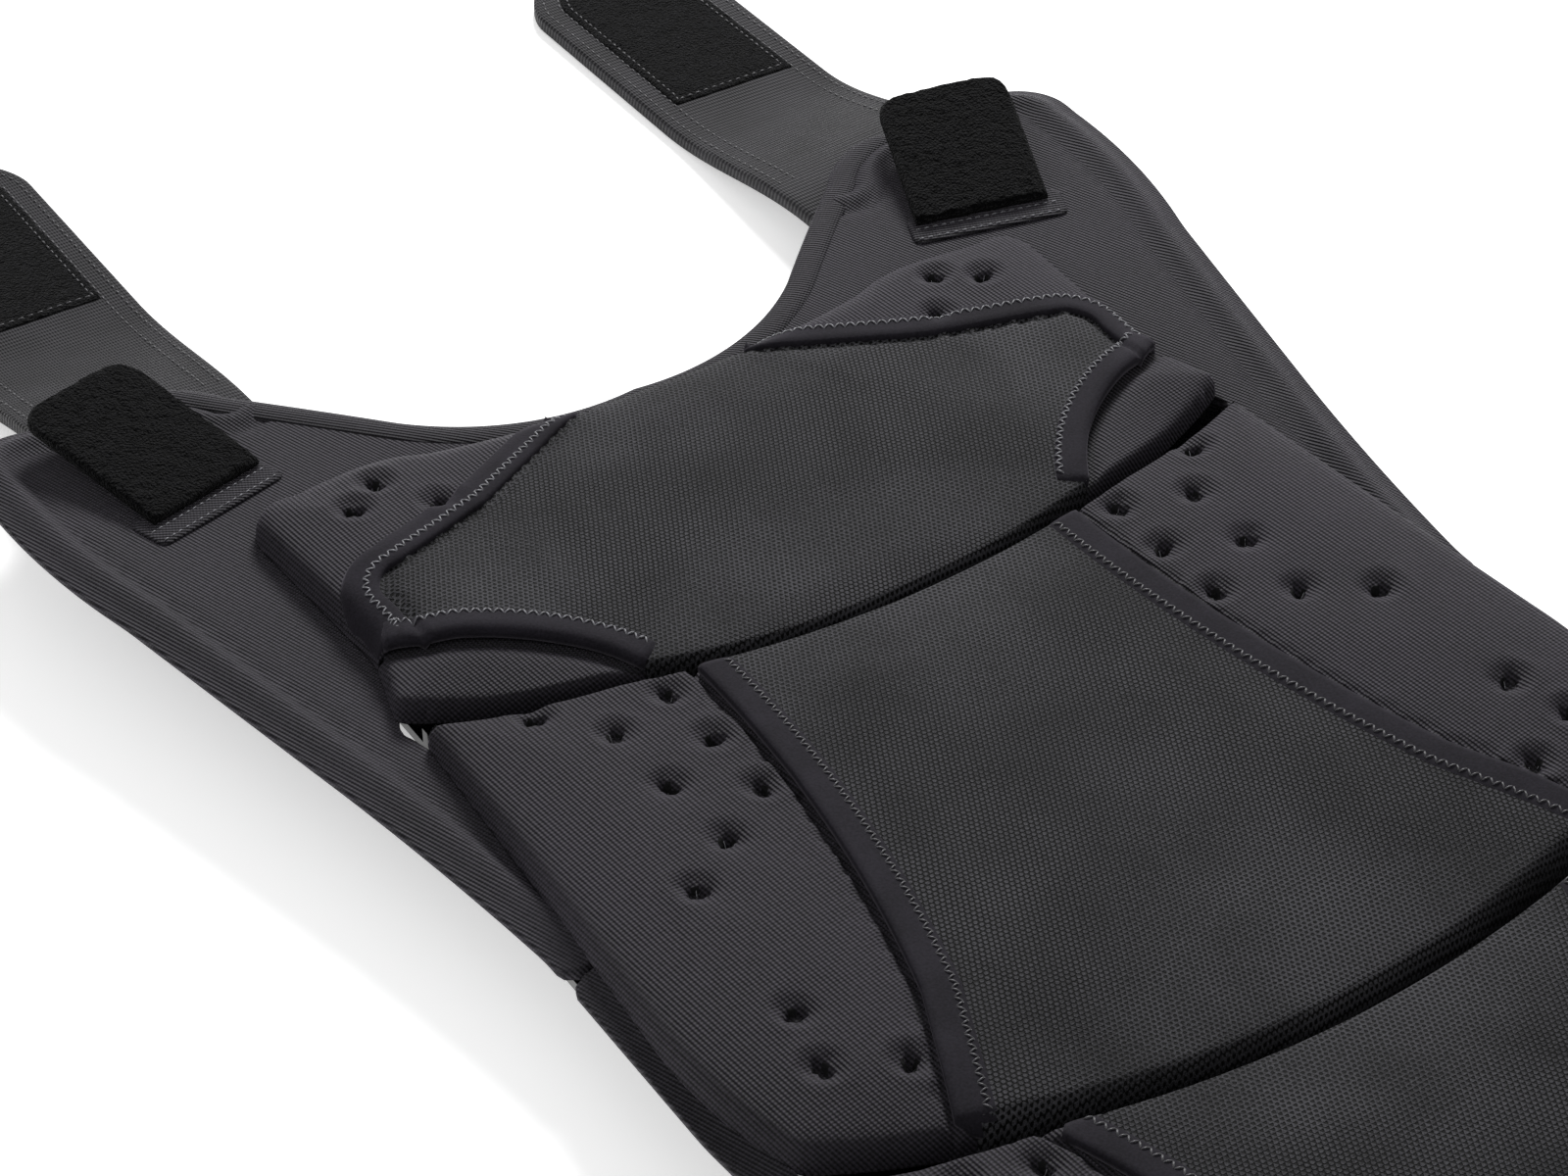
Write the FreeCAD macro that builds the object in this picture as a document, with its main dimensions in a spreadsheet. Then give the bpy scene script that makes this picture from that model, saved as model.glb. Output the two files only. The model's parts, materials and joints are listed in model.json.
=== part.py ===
"""Articulated back protector with textile harness, modelled lying outer side down.

Units are millimetres. +Z is the body side, +Y points to the neck, +X is the wearer's right
when seen from the body side. The driving dimensions are in the spreadsheet; each sub-part is
an object of the document whose Label is the name of its file.

Four hard plates lie on the ground plane and form a chain of three lateral hinges. Each plate
carries a foam core, a cushion, two jersey wings and a bound spacer-mesh panel. A sewn carrier
holds the chain and has a neck cut-out, shoulder straps, hook tabs and a waist belt.
"""
import FreeCAD, Part
import Sketcher
import math
import os

Vec = FreeCAD.Vector
doc = FreeCAD.newDocument("back_protector")

# ------------------------------------------------------------------ driving dimensions
SIZES = [
    ("origin_shift", 51.0, "moves the model so that its origin is under the middle of its box"),
    ("dish_axis_height", 1015.0, "height of the long axis that all textile layers are bent around"),
    ("strap_bottom", 7.0, "layer heights on the centre line, from here"),
    ("strap_top", 11.0, "top of the strap roots under the carrier"),
    ("carrier_bottom", 11.5, "underside of the carrier"),
    ("carrier_top", 15.0, "body side of the carrier"),
    ("core_top", 16.0, "top of the foam cores"),
    ("cushion_bottom", 16.3, "underside of the cushions"),
    ("cushion_top", 24.5, "top of the cushions"),
    ("cover_top", 26.0, "top of the jersey wings"),
    ("mesh_top", 28.0, "top of the spacer mesh"),
    ("tape_top", 28.6, "top of the binding tape"),
    ("plate_flat", 45.0, "half width of the flat middle of a plate"),
    ("plate_bend", 219.0, "radius that the sides of a plate rise on"),
    ("plate_reach", 124.0, "half width of the plate section"),
    ("plate_thickness", 2.6, "wall of the hard plates"),
    ("lip_step", 4.2, "how far a plate end is lifted over the lip of the next plate"),
    ("lip_length", 14.0, "how far a lip reaches past its hinge"),
    ("hinge_height", 15.0, "height of the hinge axes between the plates"),
    ("upper_hinge_y", 2.0, "hinge between the shoulder and the upper back plates"),
    ("middle_hinge_y", -162.0, "hinge between the upper and the lower back plates"),
    ("lower_hinge_y", -312.0, "hinge between the lower back and the lumbar plates"),
    ("lug_thickness", 2.6, "thickness of the hinge lugs"),
    ("lug_radius", 5.0, "outer radius of the hinge lugs"),
    ("pivot_hole", 2.5, "radius of the holes in the lugs"),
    ("rivet_radius", 2.45, "radius of the hinge rivets"),
    ("rivet_head", 4.0, "radius of the rivet heads"),
    ("head_room", 4.5, "radius of the pockets that the plates leave around the rivet heads"),
    ("pad_gap", 4.2, "gap between two cushions on the centre line"),
    ("strap_inner", 84.0, "inner edge of the shoulder straps"),
    ("strap_width", 56.0, "width of the shoulder straps"),
    ("strap_end", 330.0, "outer end of the shoulder straps"),
    ("belt_root", 121.0, "where the belt halves start"),
    ("belt_end", 420.0, "where the belt halves end"),
    ("tab_width", 37.0, "width of the hook tabs"),
    ("tab_length", 48.0, "length of the hook tabs"),
    ("tab_thickness", 2.6, "thickness of the hook tabs"),
]
sheet = doc.addObject("Spreadsheet::Sheet", "sizes")
for row, (alias, number, meaning) in enumerate(SIZES, start=1):
    sheet.set(f"A{row}", alias)
    sheet.set(f"B{row}", str(number))
    sheet.set(f"C{row}", meaning)
    sheet.setAlias(f"B{row}", alias)
doc.recompute()

BOX_TOP = 60.0          # height that clears every layer when an outline is cut out
finished = []           # the sub-parts that are written out, in order


def size(alias):
    """The number in the sheet's cell of that name."""
    return float(sheet.get(alias))


def number_of(coordinate):
    """A coordinate is a number, or (alias, offset), or (alias, offset, -1) when mirrored."""
    if not isinstance(coordinate, tuple):
        return float(coordinate)
    flip = coordinate[2] if len(coordinate) == 3 else 1
    return flip * (size(coordinate[0]) + coordinate[1])


def formula_of(coordinate):
    """The spreadsheet expression of a coordinate, or None for a plain number."""
    if not isinstance(coordinate, tuple):
        return None
    flip = "-" if len(coordinate) == 3 and coordinate[2] < 0 else ""
    return f"{flip}(sizes.{coordinate[0]} + {coordinate[1]})"


def corner(x, y):
    """A corner of an outline."""
    return ("corner", x, y)


def via(x, y):
    """A point that the arc between its two neighbouring corners passes through."""
    return ("via", x, y)


def flipped(coordinate):
    """The same coordinate with the opposite sign."""
    if not isinstance(coordinate, tuple):
        return -coordinate
    flip = coordinate[2] if len(coordinate) == 3 else 1
    return (coordinate[0], coordinate[1], -flip)


def mirrored(path):
    """The outline reflected across the centre plane."""
    return [(kind, flipped(x), y) for kind, x, y in path]


def both_sides(half):
    """Closes the right half of an outline, which runs from x = 0 to x = 0, with its mirror."""
    return half + mirrored(half[1:-1])[::-1]


def on_side(path, side):
    """The outline for the right (side 1) or the left (side -1)."""
    return path if side > 0 else mirrored(path)


# ------------------------------------------------------------------ sketches and prisms
def fix_coordinate(sketch, edge, end, coordinate, is_x):
    """Holds one coordinate of a sketch point, bound to the sheet where it names a cell."""
    amount = number_of(coordinate)
    if abs(amount) < 1e-9:
        axis = -2 if is_x else -1
        sketch.addConstraint(Sketcher.Constraint("PointOnObject", edge, end, axis))
        return
    kind = "DistanceX" if is_x else "DistanceY"
    if amount > 0:
        rule = Sketcher.Constraint(kind, -1, 1, edge, end, amount)
    else:
        rule = Sketcher.Constraint(kind, edge, end, -1, 1, -amount)
    index = sketch.addConstraint(rule)
    formula = formula_of(coordinate)
    if formula:
        sketch.setExpression(f"Constraints[{index}]", formula if amount > 0 else f"-({formula})")


def end_at(sketch, edge, point):
    """Which end of an edge, 1 or 2, lies at a point."""
    first = (sketch.getPoint(edge, 1) - point).Length
    second = (sketch.getPoint(edge, 2) - point).Length
    return 1 if first < second else 2


def draw(sketch, path):
    """Draws a closed outline of lines and arcs and holds every corner."""
    corners = [i for i, step in enumerate(path) if step[0] == "corner"]
    places = [Vec(number_of(path[i][1]), number_of(path[i][2]), 0) for i in corners]
    count = len(corners)
    for k, start in enumerate(corners):
        here = places[k]
        there = places[(k + 1) % count]
        middle = path[(start + 1) % len(path)]
        if middle[0] == "via":
            bend = Vec(number_of(middle[1]), number_of(middle[2]), 0)
            sketch.addGeometry(Part.Arc(here, bend, there))
        else:
            sketch.addGeometry(Part.LineSegment(here, there))
    for k in range(count):
        before = (k - 1) % count
        end = end_at(sketch, k, places[k])
        last = end_at(sketch, before, places[k])
        sketch.addConstraint(Sketcher.Constraint("Coincident", before, last, k, end))
        fix_coordinate(sketch, k, end, path[corners[k]][1], True)
        fix_coordinate(sketch, k, end, path[corners[k]][2], False)
    for k in range(count):
        edge = sketch.Geometry[k]
        if hasattr(edge, "Radius"):
            chord = edge.EndPoint - edge.StartPoint
            along_x = abs(chord.y) > abs(chord.x)
            fix_coordinate(sketch, k, 3, edge.Center.x if along_x else edge.Center.y, along_x)


def plane_of(body, role):
    """One of a body's own origin planes."""
    return next(p for p in body.Origin.OriginFeatures if p.Role == role)


def extruded(name, path, role, length, midplane=False, lift=0.0, backwards=False):
    """A body with one outline on an origin plane, padded by a length or a sheet cell."""
    body = doc.addObject("PartDesign::Body", name)
    sketch = body.newObject("Sketcher::SketchObject", name + "_outline")
    sketch.AttachmentSupport = [(plane_of(body, role), "")]
    sketch.MapMode = "FlatFace"
    sketch.AttachmentOffset = FreeCAD.Placement(Vec(0, 0, lift), FreeCAD.Rotation())
    doc.recompute()
    draw(sketch, path)
    pad = body.newObject("PartDesign::Pad", name + "_pad")
    pad.Profile = sketch
    if isinstance(length, str):
        pad.setExpression("Length", length)
    else:
        pad.Length = length
    pad.SideType = "Symmetric" if midplane else "One side"
    pad.Reversed = backwards
    return body


def prism(name, path):
    """An upright prism over an outline, tall enough to cut through every layer."""
    return extruded(name, path, "XY_Plane", BOX_TOP)


def boolean(kind, name, base, tool):
    """A Part boolean of two objects."""
    result = doc.addObject("Part::" + kind, name)
    result.Base = base
    result.Tool = tool
    result.Refine = False
    return result


def joined(name, shapes):
    """The union of several objects, or the object itself when it is alone."""
    if len(shapes) == 1:
        return shapes[0]
    result = doc.addObject("Part::MultiFuse", name)
    result.Shapes = shapes
    return result


def finish(part, label):
    """Names a sub-part and moves it with the origin."""
    part.Label = label
    part.setExpression("Placement.Base.y", f"sizes.origin_shift + {part.Placement.Base.y}")
    finished.append(part)
    return part


# ------------------------------------------------------------------ the dished layers
dish_cylinders = {}


def dish(level):
    """The long cylinder whose lowest line lies at a level: everything inside is above it."""
    if level not in dish_cylinders:
        tube = doc.addObject("Part::Cylinder", "dish_" + level)
        tube.setExpression("Radius", f"sizes.dish_axis_height - sizes.{level}")
        tube.Height = 1000.0
        tube.Placement = FreeCAD.Placement(
            Vec(0, -560, 0), FreeCAD.Rotation(Vec(1, 0, 0), -90))
        tube.setExpression("Placement.Base.z", "sizes.dish_axis_height")
        dish_cylinders[level] = tube
    return dish_cylinders[level]


def layer_of(name, field, bottom, top):
    """The stretch of an upright field that lies between two levels."""
    topped = boolean("Cut", name + "_topped", field, dish(top))
    return boolean("Common", name, topped, dish(bottom))


def sheet_part(label, path, bottom, top):
    """A sub-part that is one dished layer inside an outline."""
    return finish(layer_of(label + "_sheet", prism(label + "_prism", path), bottom, top), label)


# ------------------------------------------------------------------ hard plates
def plate_height(x):
    """Height of a plate's underside at a distance from the centre line."""
    over = max(0.0, abs(x) - size("plate_flat"))
    bend = size("plate_bend")
    return bend - math.sqrt(bend * bend - over * over)


def section(lift, thickness):
    """Cross-section of a plate: a flat middle and two rising arcs."""
    flat = ("plate_flat", 0.0)
    reach = ("plate_reach", 0.0)
    between = (size("plate_flat") + size("plate_reach")) / 2
    edge = plate_height(size("plate_reach"))
    mid = plate_height(between)
    low, high = lift, lift + thickness
    half = [
        corner(0, low), corner(flat, low), via(between, mid + low), corner(reach, edge + low),
        corner(reach, edge + high), via(between, mid + high), corner(flat, high), corner(0, high),
    ]
    return both_sides(half)


def run_of_plate(name, lift, thickness, y_low, y_high):
    """A stretch of plate section between two places along the back."""
    run = extruded(name, section(lift, thickness), "XZ_Plane", y_high - y_low)
    run.Placement.Base = Vec(0, y_high, 0)
    return run


def lug(name, x_low, hinge, reach):
    """An upright hinge lug: a round eye on a foot that stands beside the hinge line."""
    axis_y = size(hinge)
    axis_z = size("hinge_height")
    radius = size("lug_radius")
    foot_z = plate_height(x_low) + 1.0
    path = [
        corner(axis_y - radius * math.copysign(1, reach), (("hinge_height"), 0.0)),
        via(axis_y, axis_z + radius),
        corner(axis_y + radius * math.copysign(1, reach), (("hinge_height"), 0.0)),
        corner(axis_y + reach, axis_z - 3.0),
        corner(axis_y + reach, foot_z),
        corner(axis_y + 0.5 * math.copysign(1, reach), foot_z),
        corner(axis_y - 1.0 * math.copysign(1, reach), axis_z - radius),
    ]
    body = extruded(name, path, "YZ_Plane", "sizes.lug_thickness")
    body.Placement.Base = Vec(x_low, 0, 0)
    return body


def bar(name, x_low, x_high, y_low, y_high, z_low, z_high):
    """A plain cutting block."""
    block = doc.addObject("Part::Box", name)
    block.Length = x_high - x_low
    block.Width = y_high - y_low
    block.Height = z_high - z_low
    block.Placement.Base = Vec(x_low, y_low, z_low)
    return block


def cross_rod(name, alias, x_low, x_high, hinge):
    """A rod along X on a hinge axis, with its radius from the sheet."""
    rod = doc.addObject("Part::Cylinder", name)
    rod.setExpression("Radius", "sizes." + alias)
    rod.Height = x_high - x_low
    rod.Placement = FreeCAD.Placement(Vec(x_low, 0, 0), FreeCAD.Rotation(Vec(0, 1, 0), 90))
    rod.setExpression("Placement.Base.y", "sizes." + hinge)
    rod.setExpression("Placement.Base.z", "sizes.hinge_height")
    return rod


LUG_X = {"upper_hinge_y": 105.0, "middle_hinge_y": 105.0, "lower_hinge_y": 91.0}
LUG_CLEARANCE = 0.6


def lug_places(hinge):
    """Inner faces of the lower plate's lug and of the upper plate's lug, on the right."""
    inner = LUG_X[hinge]
    outer = inner + size("lug_thickness") + LUG_CLEARANCE
    return inner, outer


def slot_prism(name, places):
    """Round-ended vent slots through a plate, as one cutting object."""
    cuts = []
    for k, (x, y, length) in enumerate(places):
        for side in (1, -1):
            path = [
                corner(side * x - 2.5, y - length / 2), via(side * x, y - length / 2 - 2.5),
                corner(side * x + 2.5, y - length / 2), corner(side * x + 2.5, y + length / 2),
                via(side * x, y + length / 2 + 2.5), corner(side * x - 2.5, y + length / 2),
            ]
            cuts.append(prism(f"{name}_{k}_{'right' if side > 0 else 'left'}", path))
    return joined(name, cuts)


HEAD_DEPTH = 1.6        # how far a rivet's head and its tail stand out from the lugs
POCKET_DEPTH = 2.0      # how deep the plates are cleared beside the lugs


def head_pockets(label, hinge):
    """Round pockets in a plate around the heads and tails of a hinge's rivets."""
    inner, outer = lug_places(hinge)
    end = outer + size("lug_thickness")
    pockets = []
    for side, mark in ((1, "right"), (-1, "left")):
        for place, near, far in (("head", inner - POCKET_DEPTH, inner),
                                 ("tail", end, end + POCKET_DEPTH)):
            x_low, x_high = (near, far) if side > 0 else (-far, -near)
            pockets.append(cross_rod(f"{label}_{place}_pocket_{mark}_{hinge}", "head_room",
                                     x_low, x_high, hinge))
    return pockets


def plate(label, half_outline, hinge_above, hinge_below, y_top, y_bottom, slots):
    """A hard plate: a dished shell, its lifted end, its lip, hinge lugs and vent slots."""
    thickness = size("plate_thickness")
    step = size("lip_step")
    low = y_bottom if hinge_below is None else size(hinge_below) + size("lip_length") + 3.0
    high = y_top if hinge_above is None else size(hinge_above) + 30.0
    pieces = [run_of_plate(label + "_shell", 0.0, thickness, low, high)]
    if hinge_below is not None:
        end = size(hinge_below) + 0.6
        pieces.append(run_of_plate(label + "_end", step, thickness, end, low + 3.0))
        pieces.append(run_of_plate(label + "_web", 0.0, step + thickness, low, low + 3.0))
    whole = joined(label + "_runs", pieces)
    shaped = boolean("Common", label + "_shaped", whole, prism(label + "_plan", half_outline))
    cuts = [slot_prism(label + "_slots", slots)]
    lugs = []
    for side in (1, -1):
        mark = "right" if side > 0 else "left"
        width = size("lug_thickness")
        for hinge, reach, pick in ((hinge_above, -14.0, 0), (hinge_below, 13.0, 1)):
            if hinge is None:
                continue
            inner = lug_places(hinge)[pick]
            x_low = inner if side > 0 else -inner - width
            lugs.append(lug(f"{label}_lug_{mark}_{pick}", x_low, hinge, reach))
            other = lug_places(hinge)[1 - pick]
            cut_low = other - 0.5 if side > 0 else -other - width - 0.5
            reach_low, reach_high = (-8.0, 32.0) if pick == 0 else (-2.0, 10.0)
            cuts.append(bar(f"{label}_room_{mark}_{pick}", cut_low, cut_low + width + 1.0,
                            size(hinge) + reach_low, size(hinge) + reach_high, -1.0, 40.0))
    part = boolean("Cut", label + "_cleared", shaped, joined(label + "_cuts", cuts))
    part = joined(label + "_lugged", [part] + lugs)
    holes = []
    for hinge in (hinge_above, hinge_below):
        if hinge is not None:
            holes.append(cross_rod(f"{label}_bore_{hinge}", "pivot_hole", -130, 130, hinge))
            holes += head_pockets(label, hinge)
    part = boolean("Cut", label + "_bored", part, joined(label + "_bores", holes))
    return finish(part, label)


def lip_outline(hinge, half, prong):
    """The upper edge of a plate's right half: the lip, then an optional round prong."""
    y = size(hinge)
    tip = y + size("lip_length")
    inner = lug_places(hinge)[1] + size("lug_thickness") + 1.6
    if not prong:
        return [corner(0, tip), corner(half - 8, tip), via(half - 2.3, tip - 2.3),
                corner(half, tip - 8)]
    return [corner(0, tip), corner(inner - 5.5, tip), corner(inner - 5.5, y + 9),
            corner(inner, y + 9), corner(inner, y + 19),
            via(inner + 3.2, y + 24.5), corner(inner + 7, y + 26.5),
            via(half - 2.4, y + 24.5), corner(half, y + 17)]


def make_plates():
    """The four hard plates from the shoulders to the loins."""
    upper, middle, lower = (size(k) for k in ("upper_hinge_y", "middle_hinge_y", "lower_hinge_y"))
    shoulder = both_sides([
        corner(0, 99), corner(84, 99), via(103, 92), corner(112, 74), corner(114, upper + 40),
        corner(111.4, upper + 32), corner(111.4, upper), corner(0, upper)])
    plate("shoulder_plate", shoulder, None, "upper_hinge_y", 100, upper,
          [(22, 62, 30), (44, 62, 30), (66, 62, 24)])
    back = both_sides(lip_outline("upper_hinge_y", 124, True) + [
        corner(124, middle + 48), corner(111.4, middle + 34),
        corner(111.4, middle), corner(0, middle)])
    plate("upper_back_plate", back, "upper_hinge_y", "middle_hinge_y", 0, 0,
          [(22, -78, 44), (44, -78, 44), (66, -78, 38), (88, -78, 30)])
    low = both_sides(lip_outline("middle_hinge_y", 118, True) + [
        corner(114, lower + 48), corner(98, lower + 34),
        corner(98, lower), corner(0, lower)])
    plate("lower_back_plate", low, "middle_hinge_y", "lower_hinge_y", 0, 0,
          [(22, -228, 40), (44, -228, 40), (66, -228, 34)])
    loin = both_sides(lip_outline("lower_hinge_y", 104, True) + [
        corner(100, lower - 60), via(88, lower - 82), corner(62, lower - 92), corner(0, lower - 98)])
    plate("lumbar_plate", loin, "lower_hinge_y", None, 0, lower - 100,
          [(20, -358, 30), (40, -358, 28), (60, -356, 22)])


def make_rivets():
    """Two headed rivets per hinge, one through each pair of lugs."""
    names = {"upper_hinge_y": "upper_hinge_rivets", "middle_hinge_y": "middle_hinge_rivets",
             "lower_hinge_y": "lower_hinge_rivets"}
    for hinge, label in names.items():
        inner, outer = lug_places(hinge)
        end = outer + size("lug_thickness")
        rods = []
        for side in (1, -1):
            spans = [("shaft", "rivet_radius", inner - HEAD_DEPTH, end + HEAD_DEPTH),
                     ("head", "rivet_head", inner - HEAD_DEPTH, inner - 0.3),
                     ("tail", "rivet_head", end + 0.3, end + HEAD_DEPTH)]
            for name, alias, x_low, x_high in spans:
                low, high = (x_low, x_high) if side > 0 else (-x_high, -x_low)
                mark = "right" if side > 0 else "left"
                rods.append(cross_rod(f"{label}_{name}_{mark}", alias, low, high, hinge))
        finish(joined(label + "_all", rods), label)


# ------------------------------------------------------------------ pads
def top_arc(y, half, rise):
    """The upper edge of a pad: lowest on the centre line, rising to the corners."""
    return [corner(0, y), via(half * 0.55, y + rise * 0.3025), corner(half, y + rise)]




def pad_outlines():
    """Right halves of the four pad outlines, from the top centre to the bottom centre."""
    gap = size("pad_gap")
    y1, y2, y3 = (size(k) - 9.7 for k in ("upper_hinge_y", "middle_hinge_y", "lower_hinge_y"))
    shoulder = [
        corner(0, 102), via(32, 103), corner(64, 106.5), via(84, 110.5), corner(103, 106),
        via(112, 102), corner(115, 94), corner(112.5, 42), corner(116.5, 28),
        via(116, 20), corner(111, 17.3), via(60, y1 + gap + 5.7), corner(0, y1 + gap)]
    upper = top_arc(y1, 113, 18.6) + [
        via(115.6, y1 + 18.8), corner(116.5, y1 + 14), via(119.5, -45), corner(123, -95),
        via(122.5, -122), corner(117, y2 + gap + 24),
        via(60, y2 + gap + 6.0), corner(0, y2 + gap)]
    lower = top_arc(y2, 113, 18.6) + [
        via(115.6, y2 + 18.8), corner(116, y2 + 14), via(110, -235), corner(103.5, y3 + gap + 20),
        via(58, y3 + gap + 6.2), corner(0, y3 + gap)]
    lumbar = top_arc(y3, 99, 14.3) + [
        via(101.6, y3 + 14.2), corner(102.5, y3 + 9), corner(97, -372),
        via(84, -398), corner(58, -408), via(30, -413), corner(0, -415)]
    return {"shoulder": shoulder, "upper_back": upper, "lower_back": lower, "lumbar": lumbar}


def mesh_outlines():
    """Right halves of the spacer-mesh panels: outside and inside the binding tape."""
    shoulder_out = [
        corner(0, 103.2), corner(24, 103.6), corner(67, 77), corner(104, 62), via(109, 58),
        corner(109.4, 52), corner(107.5, 40), corner(104, 33), via(82, 24), corner(64.5, 3.4),
        corner(64.5, -30), corner(0, -30)]
    shoulder_in = [
        corner(0, 103.2), corner(18, 103.2), corner(60, 70.5), corner(98, 54), via(101.4, 51.5),
        corner(101.6, 48), corner(100.5, 40), via(76, 30), corner(56.5, 2.0),
        corner(56.5, -30), corner(0, -30)]
    upper_out = [corner(0, 20), corner(53.5, 20), via(57.5, -55), corner(73, -122),
                 corner(95, -165), corner(0, -185)]
    upper_in = [corner(0, 20), corner(43, 20), via(47, -55), corner(62, -122),
                corner(84, -170), corner(0, -190)]
    lower_out = [corner(0, -140), corner(84, -140), via(56, -236), corner(78, -325),
                 corner(0, -325)]
    lower_in = [corner(0, -140), corner(74, -140), via(46, -236), corner(68, -325),
                corner(0, -325)]
    lumbar_out = [corner(0, -300), corner(72, -300), via(50, -360), corner(30, -425),
                  corner(0, -425)]
    lumbar_in = [corner(0, -300), corner(62, -300), via(40, -360), corner(20, -425),
                 corner(0, -425)]
    return {"shoulder": (shoulder_out, shoulder_in), "upper_back": (upper_out, upper_in),
            "lower_back": (lower_out, lower_in), "lumbar": (lumbar_out, lumbar_in)}


def core_ends(name):
    """The stretch of the back that a foam core fills."""
    upper, middle, lower = (size(k) for k in ("upper_hinge_y", "middle_hinge_y", "lower_hinge_y"))
    return {"shoulder": (upper + 21, 92), "upper_back": (middle + 21, upper - 9),
            "lower_back": (lower + 21, middle - 9), "lumbar": (lower - 82, lower - 9)}[name]


def core_half_width(name):
    """Half widths of a foam core at its lower and its upper end."""
    return {"shoulder": (101, 92), "upper_back": (101, 101),
            "lower_back": (88, 101), "lumbar": (74, 87)}[name]


def half_plane(name, side, y_low, y_high):
    """A block that keeps one side of the centre plane between two places."""
    x_low = 0.0 if side > 0 else -140.0
    return bar(name, x_low, x_low + 140.0, y_low, y_high, -5.0, BOX_TOP)


def make_pads():
    """Core, cushion, jersey wings, mesh and tape of each segment."""
    room = extruded("plate_room", section(-20.0, 20.0 + size("plate_thickness") + 0.3),
                    "XZ_Plane", 700.0, midplane=True)
    room.Placement.Base = Vec(0, -160, 0)
    for name, half in pad_outlines().items():
        outline = both_sides(half)
        low, high = core_ends(name)
        wide_low, wide_high = core_half_width(name)
        core_path = both_sides([corner(0, high), corner(wide_high - 8, high),
                                corner(wide_high, high - 8), corner(wide_low, low + 8),
                                corner(wide_low - 8, low), corner(0, low)])
        block = prism(name + "_core_prism", core_path)
        block = boolean("Cut", name + "_core_topped", block, dish("core_top"))
        finish(boolean("Cut", name + "_core_bedded", block, room), name + "_foam_core")

        pad_prism = prism(name + "_pad_prism", outline)
        cushion = layer_of(name + "_cushion_sheet", pad_prism, "cushion_bottom", "cushion_top")
        finish(cushion, name + "_cushion")

        outside, inside = (prism(f"{name}_mesh_{k}", both_sides(path))
                           for k, path in enumerate(mesh_outlines()[name]))
        mesh_field = boolean("Common", name + "_mesh_field", pad_prism, inside)
        mesh = layer_of(name + "_mesh_sheet", mesh_field, "cushion_top", "mesh_top")
        finish(mesh, name + "_spacer_mesh")
        tape_field = boolean("Common", name + "_tape_field", pad_prism, outside)
        tape_ring = boolean("Cut", name + "_tape_ring", tape_field, inside)
        tape = layer_of(name + "_tape_sheet", tape_ring, "cushion_top", "tape_top")
        wings = boolean("Cut", name + "_wing_field", pad_prism, outside)
        wings = layer_of(name + "_wing_sheet", wings, "cushion_top", "cover_top")
        for side, mark in ((1, "right"), (-1, "left")):
            keep = half_plane(f"{name}_keep_{mark}", side, -500.0, 300.0)
            finish(boolean("Common", f"{name}_tape_{mark}", tape, keep),
                   f"{name}_binding_tape_{mark}")
            if name == "shoulder":
                wing_keep = half_plane(f"{name}_wing_keep_{mark}", side, 41.5, 300.0)
                ear_keep = half_plane(f"{name}_ear_keep_{mark}", side, -60.0, 41.0)
                finish(boolean("Common", f"{name}_ear_{mark}", wings, ear_keep),
                       f"shoulder_ear_{mark}")
            else:
                wing_keep = keep
            finish(boolean("Common", f"{name}_wing_{mark}", wings, wing_keep),
                   f"{name}_jersey_wing_{mark}")


# ------------------------------------------------------------------ carrier
NECK = [corner(0, 107), via(33, 110), corner(64, 127), via(84, 146), corner(97, 156.5)]
NECK_EDGE = [corner(0, 112), via(34, 115), corner(60, 130), via(80, 148), corner(94, 161)]


def make_carrier():
    """Yoke with its neck binding, the flank strips and the lumbar panel."""
    yoke = both_sides(NECK + [
        corner(118, 168), corner(146, 168), via(160, 162), corner(164.5, 146),
        via(163.5, 122), corner(156, 86), corner(139, 6.5), corner(124.5, 6.5),
        corner(124.5, 30), corner(107, 47), corner(107, 84), via(104.5, 91.5), corner(97, 94.5),
        corner(0, 94.5)])
    sheet_part("yoke_panel", yoke, "carrier_bottom", "carrier_top")
    band = both_sides(NECK_EDGE + NECK[::-1])
    sheet_part("neck_binding", band, "strap_top", "core_top")
    for side, mark in ((1, "right"), (-1, "left")):
        upper = [corner(115, -1.5), corner(137.5, -1.5), via(131, -32), corner(127.5, -62),
                 corner(127.5, -125), corner(125.5, -150), corner(118, -150)]
        sheet_part(f"upper_flank_strip_{mark}", on_side(upper, side),
                   "carrier_bottom", "carrier_top")
        lower = [corner(113.5, -165.5), corner(124.5, -165.5), via(121, -240), corner(118.5, -306),
                 corner(101, -306), corner(106, -240)]
        sheet_part(f"lower_flank_strip_{mark}", on_side(lower, side),
                   "carrier_bottom", "carrier_top")
    lumbar = both_sides([
        corner(0, -404), corner(56, -398), via(78, -389), corner(90, -366), corner(100.5, -315.5),
        corner(118, -315.5), corner(116, -396), via(108, -420), corner(84, -428),
        corner(0, -432)])
    sheet_part("lumbar_panel", lumbar, "carrier_bottom", "carrier_top")


# ------------------------------------------------------------------ shoulder straps and tabs
TAB_LEAN = 21.0         # degrees that the hook tabs lean outwards from +Y
TAB_RISE = 11.0         # degrees that the hook tabs stand up from the carrier
TAB_FOOT = (116.5, 121.0)


def carrier_surface(x):
    """Height of the carrier's body side at a distance from the centre line."""
    radius = size("dish_axis_height") - size("carrier_top")
    return size("dish_axis_height") - math.sqrt(radius * radius - x * x)


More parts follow.
